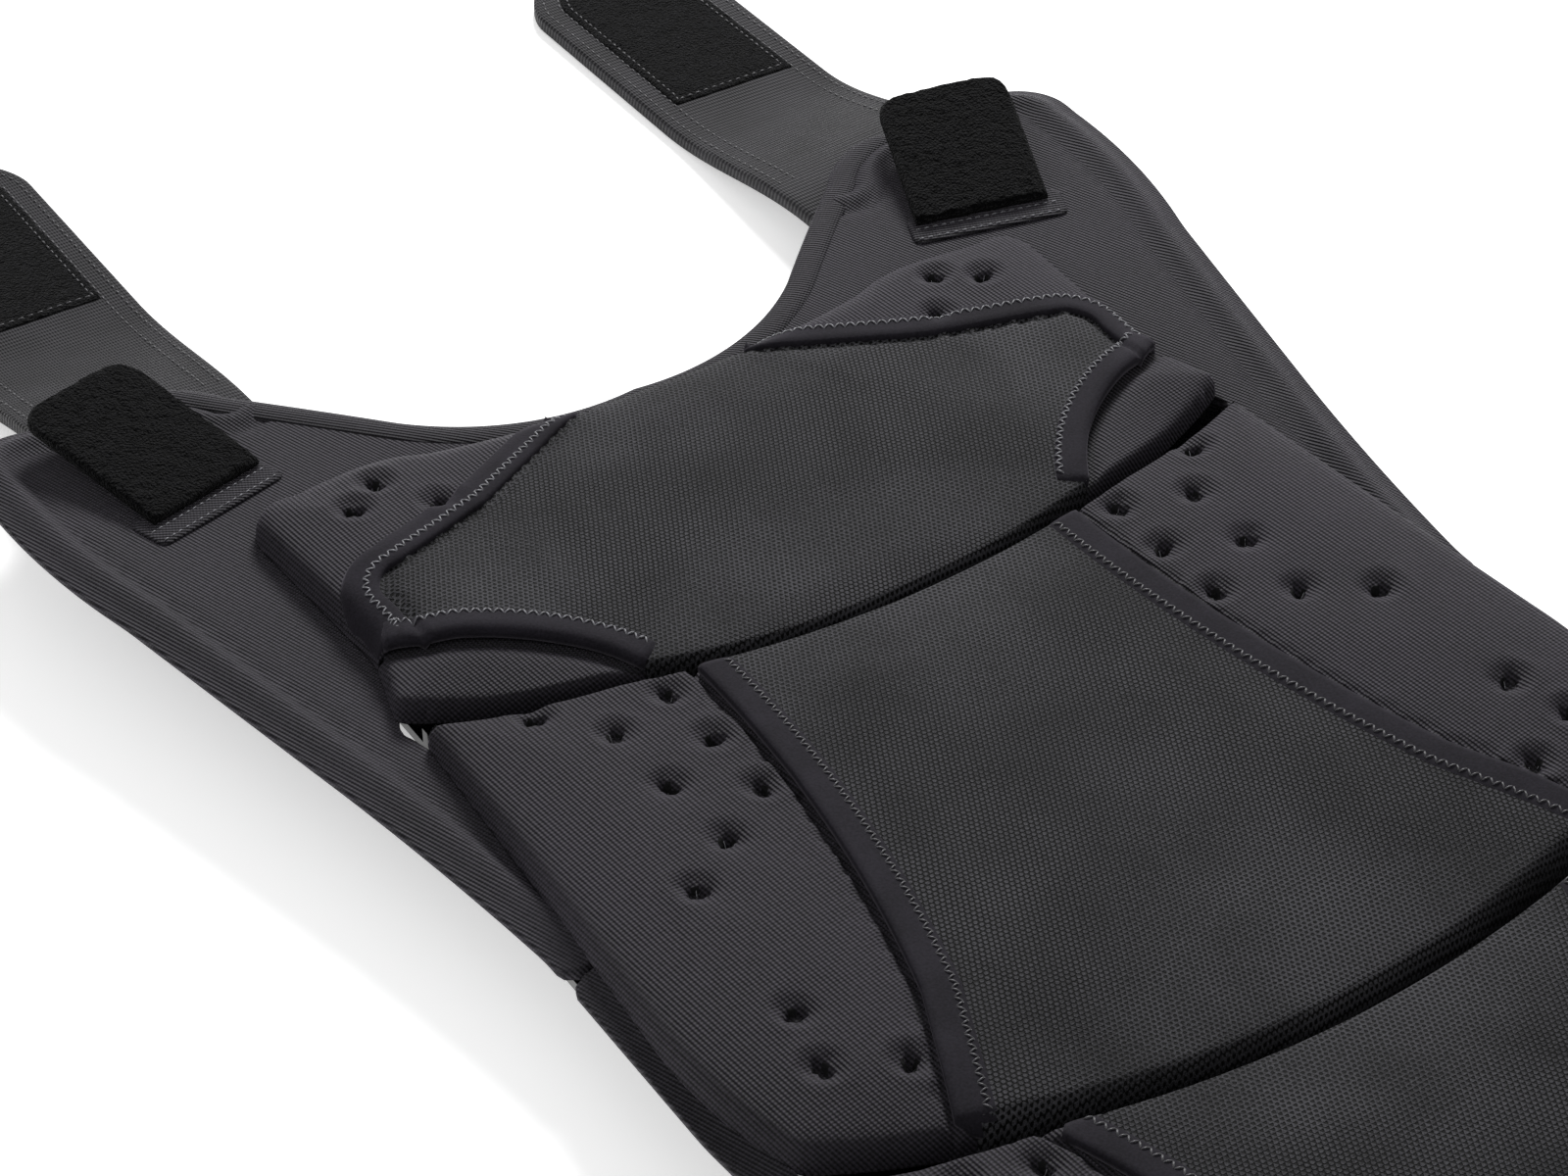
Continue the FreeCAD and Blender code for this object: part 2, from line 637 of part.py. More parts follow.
def placed(side, x, y, z, tilt):
    """Placement at a point of the carrier, turned with the tab and tilted along it."""
    lean = FreeCAD.Rotation(Vec(0, 0, 1), -side * TAB_LEAN)
    slope = FreeCAD.Rotation(Vec(0, 1, 0), -side * math.degrees(x / size("dish_axis_height")))
    rise = FreeCAD.Rotation(Vec(1, 0, 0), tilt)
    return FreeCAD.Placement(Vec(side * x, y, z), slope.multiply(lean).multiply(rise))


def make_straps():
    """Shoulder straps, the patches on the lobes and the hook tabs that rise from them."""
    for side, mark in ((1, "right"), (-1, "left")):
        inner = ("strap_inner", 0.0)
        outer = ("strap_inner", size("strap_width"))
        root = [corner(inner, 150), corner(("strap_inner", 12.0), 168.5), corner(outer, 168.5),
                corner(outer, 128), corner(("strap_inner", 16.0), 128)]
        sheet_part(f"strap_root_{mark}", on_side(root, side), "strap_bottom", "strap_top")

        side_view = [
            corner(172, 12.6), corner(172, 16.8), corner(196, 11), corner(232, 4.6),
            corner(("strap_end", 0.0), 4.6), corner(("strap_end", 0.0), 0),
            corner(228, 0), corner(194, 6.6)]
        profile = extruded(f"strap_profile_{mark}", side_view, "YZ_Plane",
                           "sizes.strap_width")
        profile.Placement.Base = Vec(0, 0, 0)
        left_edge = "sizes.strap_inner" if side > 0 else "-sizes.strap_inner - sizes.strap_width"
        profile.setExpression("Placement.Base.x", left_edge)
        far = ("strap_end", 0.0)
        plan = [
            corner(inner, 165), corner(inner, ("strap_end", -24.0)),
            via(size("strap_inner") + size("strap_width") / 2, number_of(far)),
            corner(outer, ("strap_end", -24.0)), corner(outer, 165)]
        plan_prism = prism(f"strap_plan_{mark}", on_side(plan, side))
        finish(boolean("Common", f"strap_{mark}", profile, plan_prism), f"shoulder_strap_{mark}")
        loop = [
            corner(("strap_inner", 8.0), 240), corner(("strap_inner", 8.0), ("strap_end", -26.0)),
            via(size("strap_inner") + size("strap_width") / 2, number_of(far) - 8),
            corner(outer_less(8), ("strap_end", -26.0)), corner(outer_less(8), 240)]
        patch = extruded(f"strap_loop_prism_{mark}", on_side(loop, side), "XY_Plane", 1.2,
                         lift=4.6)
        finish(patch, f"strap_loop_patch_{mark}")

        rest = doc.addObject("Part::Box", f"patch_{mark}")
        rest.Length, rest.Width, rest.Height = (46.0, 7.0, 1.2)
        centre = placed(side, TAB_FOOT[0], TAB_FOOT[1], carrier_surface(TAB_FOOT[0]) + 0.35, 0)
        rest.Placement = centre.multiply(FreeCAD.Placement(Vec(-23, -12, 0), FreeCAD.Rotation()))
        finish(rest, f"tab_patch_{mark}")

        half = size("tab_width") / 2
        end = size("tab_length")
        tab_path = [corner(-half, 0.8), corner(half, 0.8), corner(half, end - 7),
                    via(half - 2, end - 2), corner(half - 7, end), corner(7 - half, end),
                    via(2 - half, end - 2), corner(-half, end - 7)]
        tab = extruded(f"tab_{mark}", tab_path, "XY_Plane", "sizes.tab_thickness")
        tab.Placement = placed(side, TAB_FOOT[0], TAB_FOOT[1],
                               carrier_surface(TAB_FOOT[0]) + 1.0, TAB_RISE)
        finish(tab, f"hook_tab_{mark}")


def outer_less(amount):
    """The outer edge of a shoulder strap, moved in by an amount."""
    return ("strap_inner", size("strap_width") - amount)


# ------------------------------------------------------------------ waist belt
def make_belt():
    """Two belt halves with loop fields outside and a hook closure on one end."""
    for side, mark in ((1, "right"), (-1, "left")):
        root, far = ("belt_root", 0.0), ("belt_end", 0.0)
        section_path = [
            corner(root, 17.6), corner(root, 21.6), corner(150, 14.5), corner(188, 5.0),
            corner(far, 5.0), corner(far, 1.0), corner(186, 1.0), corner(146, 11.2)]
        profile = extruded(f"belt_profile_{mark}", on_side(section_path, side), "XZ_Plane", 130.0)
        profile.Placement.Base = Vec(0, -308, 0)
        plan = [
            corner(root, -318), via(170, -322), corner(240, -330), corner(("belt_end", -30.0), -334),
            corner(("belt_end", -8.0), -342),
            corner(far, -352), corner(far, -384), corner(("belt_end", -8.0), -394),
            corner(("belt_end", -30.0), -400), corner(240, -404), via(170, -412),
            corner(root, -418)]
        plan_prism = prism(f"belt_plan_{mark}", on_side(plan, side))
        finish(boolean("Common", f"belt_{mark}", profile, plan_prism), f"belt_half_{mark}")
        loop = [corner(196, -338), corner(("belt_end", -20.0), -342),
                corner(("belt_end", -20.0), -392), corner(196, -398)]
        finish(extruded(f"belt_loop_{mark}", on_side(loop, side), "XY_Plane", 1.0),
               f"belt_loop_field_{mark}")
    hook = [corner(("belt_end", -72.0), -342), corner(("belt_end", -12.0), -346),
            corner(("belt_end", -12.0), -390), corner(("belt_end", -72.0), -394)]
    finish(extruded("belt_hook", hook, "XY_Plane", 1.4, lift=5.0), "belt_hook_closure")


make_plates()
make_rivets()
make_pads()
make_carrier()
make_straps()
make_belt()
doc.recompute()

# ------------------------------------------------------------------ checks and files
for thing in doc.Objects:
    if "Invalid" in thing.State or "Error" in thing.State:
        raise RuntimeError(f"{thing.Name} failed: {thing.State}")
for part in finished:
    if part.Shape.isNull() or not part.Shape.isValid() or not part.Shape.Solids:
        raise RuntimeError(f"{part.Label} has no valid solid")

os.makedirs("parts", exist_ok=True)
for part in finished:
    part.Shape.exportStep(f"parts/{part.Label}.step")
box = FreeCAD.BoundBox()
for part in finished:
    box.add(part.Shape.BoundBox)
print(len(finished), "parts, box", box)
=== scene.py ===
"""Looks of the articulated back protector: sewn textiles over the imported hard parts.

Lengths in the functions below are millimetres in the pattern's own frame, whose y = 0 line lies
just above the upper hinge. to_row() turns them into the row frame in metres.
"""
import json
import math
import random

import bmesh
import bpy
import numpy as np
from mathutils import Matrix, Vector
from mathutils.geometry import delaunay_2d_cdt


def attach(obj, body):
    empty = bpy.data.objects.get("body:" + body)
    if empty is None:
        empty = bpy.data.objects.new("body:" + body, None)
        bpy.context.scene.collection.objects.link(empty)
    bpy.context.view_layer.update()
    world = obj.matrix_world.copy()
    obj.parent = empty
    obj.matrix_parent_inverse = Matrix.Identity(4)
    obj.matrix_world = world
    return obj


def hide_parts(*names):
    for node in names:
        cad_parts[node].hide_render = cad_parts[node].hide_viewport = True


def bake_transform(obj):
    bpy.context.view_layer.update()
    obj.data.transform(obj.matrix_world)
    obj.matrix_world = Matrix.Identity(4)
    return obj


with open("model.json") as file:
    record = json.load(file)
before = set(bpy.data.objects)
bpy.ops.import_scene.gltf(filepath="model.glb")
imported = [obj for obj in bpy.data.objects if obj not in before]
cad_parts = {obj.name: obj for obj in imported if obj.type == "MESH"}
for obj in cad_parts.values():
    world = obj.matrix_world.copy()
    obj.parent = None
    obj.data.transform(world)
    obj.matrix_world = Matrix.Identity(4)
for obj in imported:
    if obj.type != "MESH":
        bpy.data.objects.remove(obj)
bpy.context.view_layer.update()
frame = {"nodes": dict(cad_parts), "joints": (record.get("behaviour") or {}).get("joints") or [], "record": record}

JOINTS = {j["name"]: j for j in frame["joints"]}
HINGE_UPPER = 2.0
SHIFT = JOINTS["upper_flex"]["pos_m"][1] * 1000 - HINGE_UPPER
HINGE_MIDDLE = JOINTS["middle_flex"]["pos_m"][1] * 1000 - SHIFT
HINGE_LOWER = JOINTS["lower_flex"]["pos_m"][1] * 1000 - SHIFT
DISH_AXIS = 1015.0          # height of the long axis that the layers are bent around
CARRIER_TOP = 15.0
WING_TOP = 26.0
MESH_TOP = 28.0
PAD_FOOT = 15.6
GAP = 2.8                   # between two pads on the centre line
HINGE_LEVEL = 0.016         # height in metres of the hinge line in the belt's fold tuples; no piece is bent with it


def to_row(points):
    """Pattern millimetres to row metres."""
    out = np.array(points, float) / 1000
    out[:, 1] += SHIFT / 1000
    return out


def dish(x, level):
    """Height of a textile layer above the resting plane, at a distance from the centre line."""
    return DISH_AXIS - np.sqrt((DISH_AXIS - level) ** 2 - np.asarray(x, float) ** 2)


# ------------------------------------------------------------------ outlines
def arc(a, b, c, step=2.0):
    """Points from a over b to c on their circle, without the first."""
    (ax, ay), (bx, by), (cx, cy) = a, b, c
    turn = 2 * (ax * (by - cy) + bx * (cy - ay) + cx * (ay - by))
    sa, sb, sc = ax * ax + ay * ay, bx * bx + by * by, cx * cx + cy * cy
    ox = (sa * (by - cy) + sb * (cy - ay) + sc * (ay - by)) / turn
    oy = (sa * (cx - bx) + sb * (ax - cx) + sc * (bx - ax)) / turn
    radius = math.hypot(ax - ox, ay - oy)
    start, mid, end = (math.atan2(y - oy, x - ox) for x, y in (a, b, c))
    span = (end - start) % (2 * math.pi)
    if (mid - start) % (2 * math.pi) > span:
        span -= 2 * math.pi
    count = max(2, int(abs(span) * radius / step))
    return [(ox + radius * math.cos(start + span * k / count),
             oy + radius * math.sin(start + span * k / count)) for k in range(1, count + 1)]


def trace(*steps, step=2.0):
    """A polyline through corners (x, y) and arcs ((via x, via y), (end x, end y))."""
    out = [steps[0]]
    for item in steps[1:]:
        if isinstance(item[0], tuple):
            out += arc(out[-1], item[0], item[1], step)
            continue
        here, there = Vector(out[-1]), Vector(item)
        count = max(1, int((there - here).length / step))
        out += [tuple(here.lerp(there, k / count)) for k in range(1, count + 1)]
    return out


def mirrored(path):
    """The path on the other side of the centre plane."""
    return [(-x, y) for x, y in path]


def closed(half):
    """A half outline from x = 0 to x = 0, closed with its mirror image."""
    return half + mirrored(half[1:-1])[::-1]


def softened(outline, rounds):
    """A closed outline with its corners rounded by averaging neighbours."""
    points = np.array(outline, float)
    for _ in range(rounds):
        points = 0.5 * points + 0.25 * (np.roll(points, 1, 0) + np.roll(points, -1, 0))
    return [tuple(p) for p in points]


def distance(points, path, loop=True):
    """Distance of each point to a polyline."""
    line = np.array(path, float)
    a = line if loop else line[:-1]
    b = np.roll(line, -1, 0) if loop else line[1:]
    points = np.array(points, float)
    best = np.full(len(points), 1e9)
    for start, end in zip(a, b):
        run = end - start
        size = run @ run
        if size < 1e-12:
            continue
        t = np.clip(((points - start) @ run) / size, 0, 1)
        gap = np.linalg.norm(points - start - t[:, None] * run, axis=1)
        best = np.minimum(best, gap)
    return best


def inside(points, polygon):
    """Which points lie in a closed polygon."""
    x, y = np.array(points, float).T
    hit = np.zeros(len(x), bool)
    line = np.array(polygon, float)
    for (x0, y0), (x1, y1) in zip(line, np.roll(line, -1, 0)):
        if y0 == y1:
            continue
        crosses = (y0 > y) != (y1 > y)
        hit ^= crosses & (x < (x1 - x0) * (y - y0) / (y1 - y0) + x0)
    return hit


# ------------------------------------------------------------------ meshes
def new_object(name, vertices, faces, smooth=True):
    """A mesh object in row metres from pattern millimetres."""
    mesh = bpy.data.meshes.new(name)
    mesh.from_pydata([tuple(v) for v in to_row(vertices)], [], faces)
    mesh.validate()
    shape = bmesh.new()
    shape.from_mesh(mesh)
    bmesh.ops.recalc_face_normals(shape, faces=shape.faces)
    shape.to_mesh(mesh)
    shape.free()
    for polygon in mesh.polygons:
        polygon.use_smooth = smooth
    piece = bpy.data.objects.new(name, mesh)
    bpy.context.scene.collection.objects.link(piece)
    return piece


def cut_cloth(outline, seams=(), spacing=2.4, rings=(0.35, 1.0, 2.0, 3.4), extra=()):
    """Triangles of a flat pattern that follow its outline and its seam lines."""
    border = np.array(outline, float)
    ahead = np.roll(border, -1, 0) - np.roll(border, 1, 0)
    normal = np.stack([-ahead[:, 1], ahead[:, 0]], 1)
    normal /= np.maximum(np.linalg.norm(normal, axis=1), 1e-9)[:, None]
    area = 0.5 * np.sum(border[:, 0] * np.roll(border[:, 1], -1)
                        - np.roll(border[:, 0], -1) * border[:, 1])
    normal *= math.copysign(1, area)
    grid = []
    for inset in rings:
        ring = border + normal * inset
        kept = ring[inside(ring, border)]
        grid.append(kept[distance(kept, border) > inset * 0.93])
    low, high = border.min(0), border.max(0)
    rows = []
    for k, y in enumerate(np.arange(low[1], high[1], spacing * 0.87)):
        xs = np.arange(low[0] + (k % 2) * spacing / 2, high[0], spacing)
        rows.append(np.stack([xs, np.full(len(xs), y)], 1))
    field = np.concatenate(rows)
    field = field[inside(field, border)]
    field = field[distance(field, border) > rings[-1] + spacing * 0.5]
    near = np.zeros(len(field), bool)
    for seam in seams:
        near |= distance(field, seam, loop=False) < spacing * 0.45
    for spot in extra:
        near |= np.linalg.norm(field - spot[0], axis=1) < spot[1]
    grid.append(field[~near])
    for spot, reach in extra:
        for radius in np.arange(0.6, reach, 0.8):
            count = max(6, int(2 * math.pi * radius / 0.9))
            turn = np.arange(count) * 2 * math.pi / count + radius
            grid.append(spot + radius * np.stack([np.cos(turn), np.sin(turn)], 1))
        grid.append(np.array([spot]))
    points = [tuple(p) for p in border]
    edges = [(k, (k + 1) % len(border)) for k in range(len(border))]
    for seam in seams:
        first = len(points)
        points += list(seam)
        edges += [(first + k, first + k + 1) for k in range(len(seam) - 1)]
    points += [tuple(p) for p in np.concatenate(grid)]
    ring_face = [list(range(len(border)))]
    made = delaunay_2d_cdt([Vector(p) for p in points], edges, ring_face, 1, 1e-4)
    verts = np.array([tuple(v) for v in made[0]])
    faces = [tuple(f) for f in made[2] if len(f) == 3]
    centres = np.array([(verts[a] + verts[b] + verts[c]) / 3 for a, b, c in faces])
    keep = inside(centres, border)
    return verts, [f for f, k in zip(faces, keep) if k]


def shell(name, verts, faces, top, bottom):
    """A closed solid over a triangulated pattern, between two height functions."""
    used = sorted({k for f in faces for k in f})
    number = {old: new for new, old in enumerate(used)}
    flat = verts[used]
    faces = [tuple(number[k] for k in f) for f in faces]
    count = len(flat)
    upper, lower = top(flat), bottom(flat)
    lower = np.minimum(lower, upper - 0.25)
    points = np.concatenate([np.column_stack([flat, upper]), np.column_stack([flat, lower])])
    seen = {}
    for f in faces:
        for a, b in zip(f, f[1:] + f[:1]):
            seen[(a, b)] = seen.get((a, b), 0) + 1
    walls = [(a, b) for a, b in seen if (b, a) not in seen]
    all_faces = list(faces) + [tuple(k + count for k in f[::-1]) for f in faces]
    all_faces += [(b, a, a + count, b + count) for a, b in walls]
    return new_object(name, points, all_faces)


def strip(name, path, profile, base, taper=0.0):
    """A band along a path: profile is a list of (across, height), base gives the ground.

    taper is the length over which the band thins out at both of its ends.
    """
    line = np.array(path, float)
    ahead = np.gradient(line, axis=0)
    ahead /= np.maximum(np.linalg.norm(ahead, axis=1), 1e-9)[:, None]
    across = np.stack([ahead[:, 1], -ahead[:, 0]], 1)
    along = np.concatenate([[0], np.cumsum(np.linalg.norm(np.diff(line, axis=0), axis=1))])
    out, rise = np.array(profile, float).T
    count = len(profile)
    size = np.ones(len(line))
    if taper:
        near_end = np.clip(np.minimum(along, along[-1] - along) / taper, 0, 1)
        size = 0.35 + 0.65 * np.sqrt(1 - (1 - near_end) ** 2)
    spots = line[:, None, :] + across[:, None, :] * (size[:, None] * out)[:, :, None]
    spots = spots.reshape(-1, 2)
    lift = np.where(rise > 0, size[:, None] * rise, rise).reshape(-1)
    points = np.column_stack([spots, base(spots) + lift])
    faces = []
    for k in range(len(line) - 1):
        near, far = k * count, (k + 1) * count
        for j in range(count):
            nxt = (j + 1) % count
            faces.append((near + j, near + nxt, far + nxt, far + j))
    faces.append(tuple(range(count))[::-1])
    faces.append(tuple(range(len(points) - count, len(points))))
    return new_object(name, points, faces)


def thread(name, runs, radius):
    """Short rounded threads, each a polyline in pattern millimetres, as one mesh."""
    points, faces = [], []
    sides = 6
    for run in runs:
        line = np.array(run, float)
        ahead = np.gradient(line, axis=0)
        ahead /= np.maximum(np.linalg.norm(ahead, axis=1), 1e-9)[:, None]
        out = np.cross(ahead, (0, 0, 1.0))
        out /= np.maximum(np.linalg.norm(out, axis=1), 1e-9)[:, None]
        rise = np.cross(out, ahead)
        first = len(points)
        last = len(line) - 1
        for k, (p, o, r) in enumerate(zip(line, out, rise)):
            size = radius * (0.45 if k in (0, last) else 1.0)
            for j in range(sides):
                turn = 2 * math.pi * j / sides
                points.append(p + size * (math.cos(turn) * o + math.sin(turn) * r))
        for k in range(last):
            a, b = first + k * sides, first + (k + 1) * sides
            for j in range(sides):
                faces.append((a + j, a + (j + 1) % sides, b + (j + 1) % sides, b + j))
        faces.append(tuple(range(first, first + sides))[::-1])
        faces.append(tuple(range(first + last * sides, first + (last + 1) * sides)))
    return new_object(name, points, faces)


def resampled(path, step):
    """A polyline with evenly spaced points, and its total length."""
    line = np.array(path, float)
    gaps = np.linalg.norm(np.diff(line, axis=0), axis=1)
    along = np.concatenate([[0], np.cumsum(gaps)])
    count = max(2, int(round(along[-1] / step)))
    marks = np.linspace(0, along[-1], count + 1)
    return np.stack([np.interp(marks, along, line[:, 0]), np.interp(marks, along, line[:, 1])], 1)


def sideways(path, amount):
    """A polyline moved across itself."""
    line = np.array(path, float)
    ahead = np.gradient(line, axis=0)
    ahead /= np.maximum(np.linalg.norm(ahead, axis=1), 1e-9)[:, None]
    return line + np.stack([ahead[:, 1], -ahead[:, 0]], 1) * amount


def stabs(knots, shares, lifts, ground):
    """One short thread between each two neighbouring knots, sunk into the cloth at its ends."""
    start, run = knots[:-1, None, :], np.diff(knots, axis=0)[:, None, :]
    flat = start + run * np.array(shares)[None, :, None]
    spots = flat.reshape(-1, 2)
    height = ground(spots).reshape(flat.shape[:2]) + np.array(lifts)
    return [np.column_stack([line, rise]) for line, rise in zip(flat, height)]


def zigzag(name, path, ground, pitch=4.0, width=2.4, radius=0.24):
    """Zig-zag stitching: one thread per stab, sunk at its ends."""
    marks = resampled(path, pitch / 2)
    left, right = sideways(marks, -width / 2), sideways(marks, width / 2)
    knots = np.array([left[k] if k % 2 else right[k] for k in range(len(marks))])
    return thread(name, stabs(knots, (0, 0.2, 0.5, 0.8, 1), (-0.15, 0.18, 0.3, 0.18, -0.15), ground),
                  radius)


def running_stitch(name, path, ground, pitch=3.0, radius=0.22):
    """A straight dashed seam."""
    marks = resampled(path, pitch)
    return thread(name, stabs(marks, (0.06, 0.2, 0.4, 0.55, 0.68),
                              (-0.12, 0.12, 0.18, 0.12, -0.12), ground), radius)


# ------------------------------------------------------------------ materials
def shader(name, colour, roughness, **sockets):
    """A node material with a Principled shader; returns it with a small node helper."""
    material = bpy.data.materials.new(name)
    material.use_nodes = True
    tree = material.node_tree
    principled = tree.nodes["Principled BSDF"]
    principled.inputs["Base Color"].default_value = (*colour, 1)
    principled.inputs["Roughness"].default_value = roughness
    for socket, amount in sockets.items():
        principled.inputs[socket.replace("_", " ")].default_value = amount
    return material, tree, principled


def node(tree, kind, inputs=(), **settings):
    """Adds a node; inputs maps a socket's number to a value or to another node's output."""
    made = tree.nodes.new(kind)
    for key, amount in settings.items():
        setattr(made, key, amount)
    for key, amount in dict(inputs).items():
        if isinstance(amount, bpy.types.NodeSocket):
            tree.links.new(amount, made.inputs[key])
        else:
            made.inputs[key].default_value = amount
    return made


def wave(tree, position, direction, period):
    """A cosine ripple of a period in metres along a direction: from -1 to 1."""
    along = node(tree, "ShaderNodeVectorMath", {0: position, 1: direction}, operation="DOT_PRODUCT")
    scaled = node(tree, "ShaderNodeMath", {0: along.outputs["Value"], 1: 2 * math.pi / period},
                  operation="MULTIPLY")
    return node(tree, "ShaderNodeMath", {0: scaled.outputs[0]}, operation="COSINE").outputs[0]


def maths(tree, operation, *values):
    """A Math node's output."""
    return node(tree, "ShaderNodeMath", dict(enumerate(values)), operation=operation).outputs[0]


def ramp(tree, factor, low, high, start=(0, 0, 0), end=(1, 1, 1)):
    """A smooth colour ramp between two places of a factor."""
    made = tree.nodes.new("ShaderNodeValToRGB")
    made.color_ramp.interpolation = "EASE"
    first, last = made.color_ramp.elements
    first.position, last.position = low, high
    first.color, last.color = (*start, 1), (*end, 1)
    tree.links.new(factor, made.inputs[0])
    return made.outputs[0]


def mixed(tree, factor, first, second):
    """Mix of two colours."""
    made = node(tree, "ShaderNodeMix", data_type="RGBA")
    made.inputs[0].default_value = 0.5
    for socket, amount in ((made.inputs[0], factor), (made.inputs[6], first),
                           (made.inputs[7], second)):
        if isinstance(amount, bpy.types.NodeSocket):
            tree.links.new(amount, socket)
        else:
            socket.default_value = amount
    return made.outputs[2]


def bumped(tree, principled, height, strength, depth):
    """Feeds a height into the shader's normal."""
    made = node(tree, "ShaderNodeBump", {"Strength": strength, "Distance": depth, "Height": height})
    tree.links.new(made.outputs[0], principled.inputs["Normal"])


def jersey(name, colour, rib=0.00112, direction=(1.0, 0.10, 0.6), depth=0.00022):
    """Fine ribbed jersey: knit wales, a cross grain and a soft cloudy tone."""
    material, tree, principled = shader(
        name, colour, 0.66, Sheen_Weight=0.11, Sheen_Roughness=0.32,
        Sheen_Tint=(0.78, 0.72, 0.86, 1), Specular_IOR_Level=0.2)
    place = node(tree, "ShaderNodeTexCoord").outputs["Object"]
    ribs = wave(tree, place, direction, rib)
    across = wave(tree, place, (-direction[1], direction[0], 0.5), rib * 0.8)
    knit = maths(tree, "MULTIPLY_ADD", across, 0.35, ribs)
    grain = node(tree, "ShaderNodeTexNoise", {"Vector": place, "Scale": 900.0, "Detail": 3.0})
    cloud = node(tree, "ShaderNodeTexNoise", {"Vector": place, "Scale": 22.0, "Detail": 4.0})
    height = maths(tree, "MULTIPLY_ADD", grain.outputs[0], 0.9, knit)
    light = tuple(c * 2.5 for c in colour)
    dark = tuple(c * 0.14 for c in colour)
    speck = maths(tree, "MULTIPLY_ADD", grain.outputs[0], 0.5, maths(tree, "MULTIPLY",
                                                                   cloud.outputs[0], 0.5))
    tone = maths(tree, "MULTIPLY_ADD", knit, 0.27, speck)
    base = ramp(tree, tone, 0.05, 0.98, dark, light)
    tree.links.new(base, principled.inputs["Base Color"])
    rough = maths(tree, "MULTIPLY_ADD", cloud.outputs[0], 0.16, 0.62)
    tree.links.new(rough, principled.inputs["Roughness"])
    bumped(tree, principled, height, 0.75, depth)
    return material


def spacer_mesh(name, colour, pitch=0.00138):
    """Open 3D mesh: a three-way lattice of pores between short bright yarns; the pores are painted near-black as
    the shade inside the mesh.
    """
    material, tree, principled = shader(name, colour, 0.68, Sheen_Weight=0.035,
                                        Sheen_Roughness=0.4, Specular_IOR_Level=0.1)
    place = node(tree, "ShaderNodeTexCoord").outputs["Object"]
    drift = node(tree, "ShaderNodeTexNoise", {"Vector": place, "Scale": 260.0, "Detail": 2.0})
    wobble = node(tree, "ShaderNodeVectorMath",
                  {0: drift.outputs["Color"], 1: (0.00030, 0.00030, 0.0)}, operation="MULTIPLY")
    spot = node(tree, "ShaderNodeVectorMath", {0: place, 1: wobble.outputs[0]}, operation="ADD")
    spot = spot.outputs[0]
    total = None
    for degrees in (33, 93, 153):
        turn = math.radians(degrees)
        ripple = wave(tree, spot, (math.cos(turn), math.sin(turn), 0.3), pitch * 0.866)
        total = ripple if total is None else maths(tree, "ADD", total, ripple)
    pore = ramp(tree, maths(tree, "MULTIPLY_ADD", total, 0.22, 0.33), 0.30, 0.56)
    fibre = node(tree, "ShaderNodeTexNoise", {"Vector": place, "Scale": 2600.0, "Detail": 2.0})
    cloud = node(tree, "ShaderNodeTexNoise", {"Vector": place, "Scale": 30.0, "Detail": 3.0})
    light = tuple(c * 4.4 for c in colour)
    dim = tuple(c * 0.8 for c in colour)
    yarn = ramp(tree, maths(tree, "MULTIPLY_ADD", fibre.outputs[0], 0.7,
                            maths(tree, "MULTIPLY", cloud.outputs[0], 0.4)), 0.35, 0.75, dim, light)
    # painted shade: the pores get a near-black colour for the shade inside the open mesh
    pore_shade = (*(c * 0.06 for c in colour), 1)
    tree.links.new(mixed(tree, pore, yarn, pore_shade), principled.inputs["Base Color"])
    height = maths(tree, "MULTIPLY_ADD", fibre.outputs[0], 0.25, maths(tree, "MULTIPLY", pore, -1.0))
    bumped(tree, principled, height, 1.0, 0.0007)
    return material


def suede(name, colour):
    """Smooth binding tape with a short nap."""
    material, tree, principled = shader(name, colour, 0.86, Sheen_Weight=0.10,
                                        Sheen_Roughness=0.4, Specular_IOR_Level=0.12,
                                        Sheen_Tint=(0.78, 0.72, 0.85, 1))
    place = node(tree, "ShaderNodeTexCoord").outputs["Object"]
    nap = node(tree, "ShaderNodeTexNoise", {"Vector": place, "Scale": 1500.0, "Detail": 4.0})
    cloud = node(tree, "ShaderNodeTexNoise", {"Vector": place, "Scale": 70.0, "Detail": 3.0})
    tone = maths(tree, "MULTIPLY_ADD", nap.outputs[0], 0.6, maths(tree, "MULTIPLY",
                                                                cloud.outputs[0], 0.5))
    base = ramp(tree, tone, 0.3, 0.8, tuple(c * 0.6 for c in colour),
                tuple(c * 1.6 for c in colour))
    tree.links.new(base, principled.inputs["Base Color"])
    bumped(tree, principled, nap.outputs[0], 0.5, 0.00018)
    return material


def pile(name, colour, scale=1300.0, depth=0.0011):
    """Dense fuzzy loop or hook pile with a patchy random tone; the highest tufts are painted lighter as glints."""
    material, tree, principled = shader(name, colour, 0.9, Sheen_Weight=0.05,
                                        Sheen_Roughness=0.3, Specular_IOR_Level=0.08)
    place = node(tree, "ShaderNodeTexCoord").outputs["Object"]
    tufts = node(tree, "ShaderNodeTexVoronoi", {"Vector": place, "Scale": scale})
    fuzz = node(tree, "ShaderNodeTexNoise", {"Vector": place, "Scale": scale * 1.6, "Detail": 5.0})
    patchy = node(tree, "ShaderNodeTexNoise", {"Vector": place, "Scale": 160.0, "Detail": 2.0})
    height = maths(tree, "SUBTRACT", fuzz.outputs[0], tufts.outputs[0])
    tone = maths(tree, "MULTIPLY_ADD", patchy.outputs[0], 0.5, height)
    # painted highlight: colour rises with the tufts' height, so their tops show as glints, over a patchy random
    # tone
    base = ramp(tree, tone, 0.1, 0.95, tuple(c * 0.3 for c in colour),
                tuple(c * 3.6 for c in colour))
    tree.links.new(base, principled.inputs["Base Color"])
    bumped(tree, principled, height, 1.0, depth)
    return material


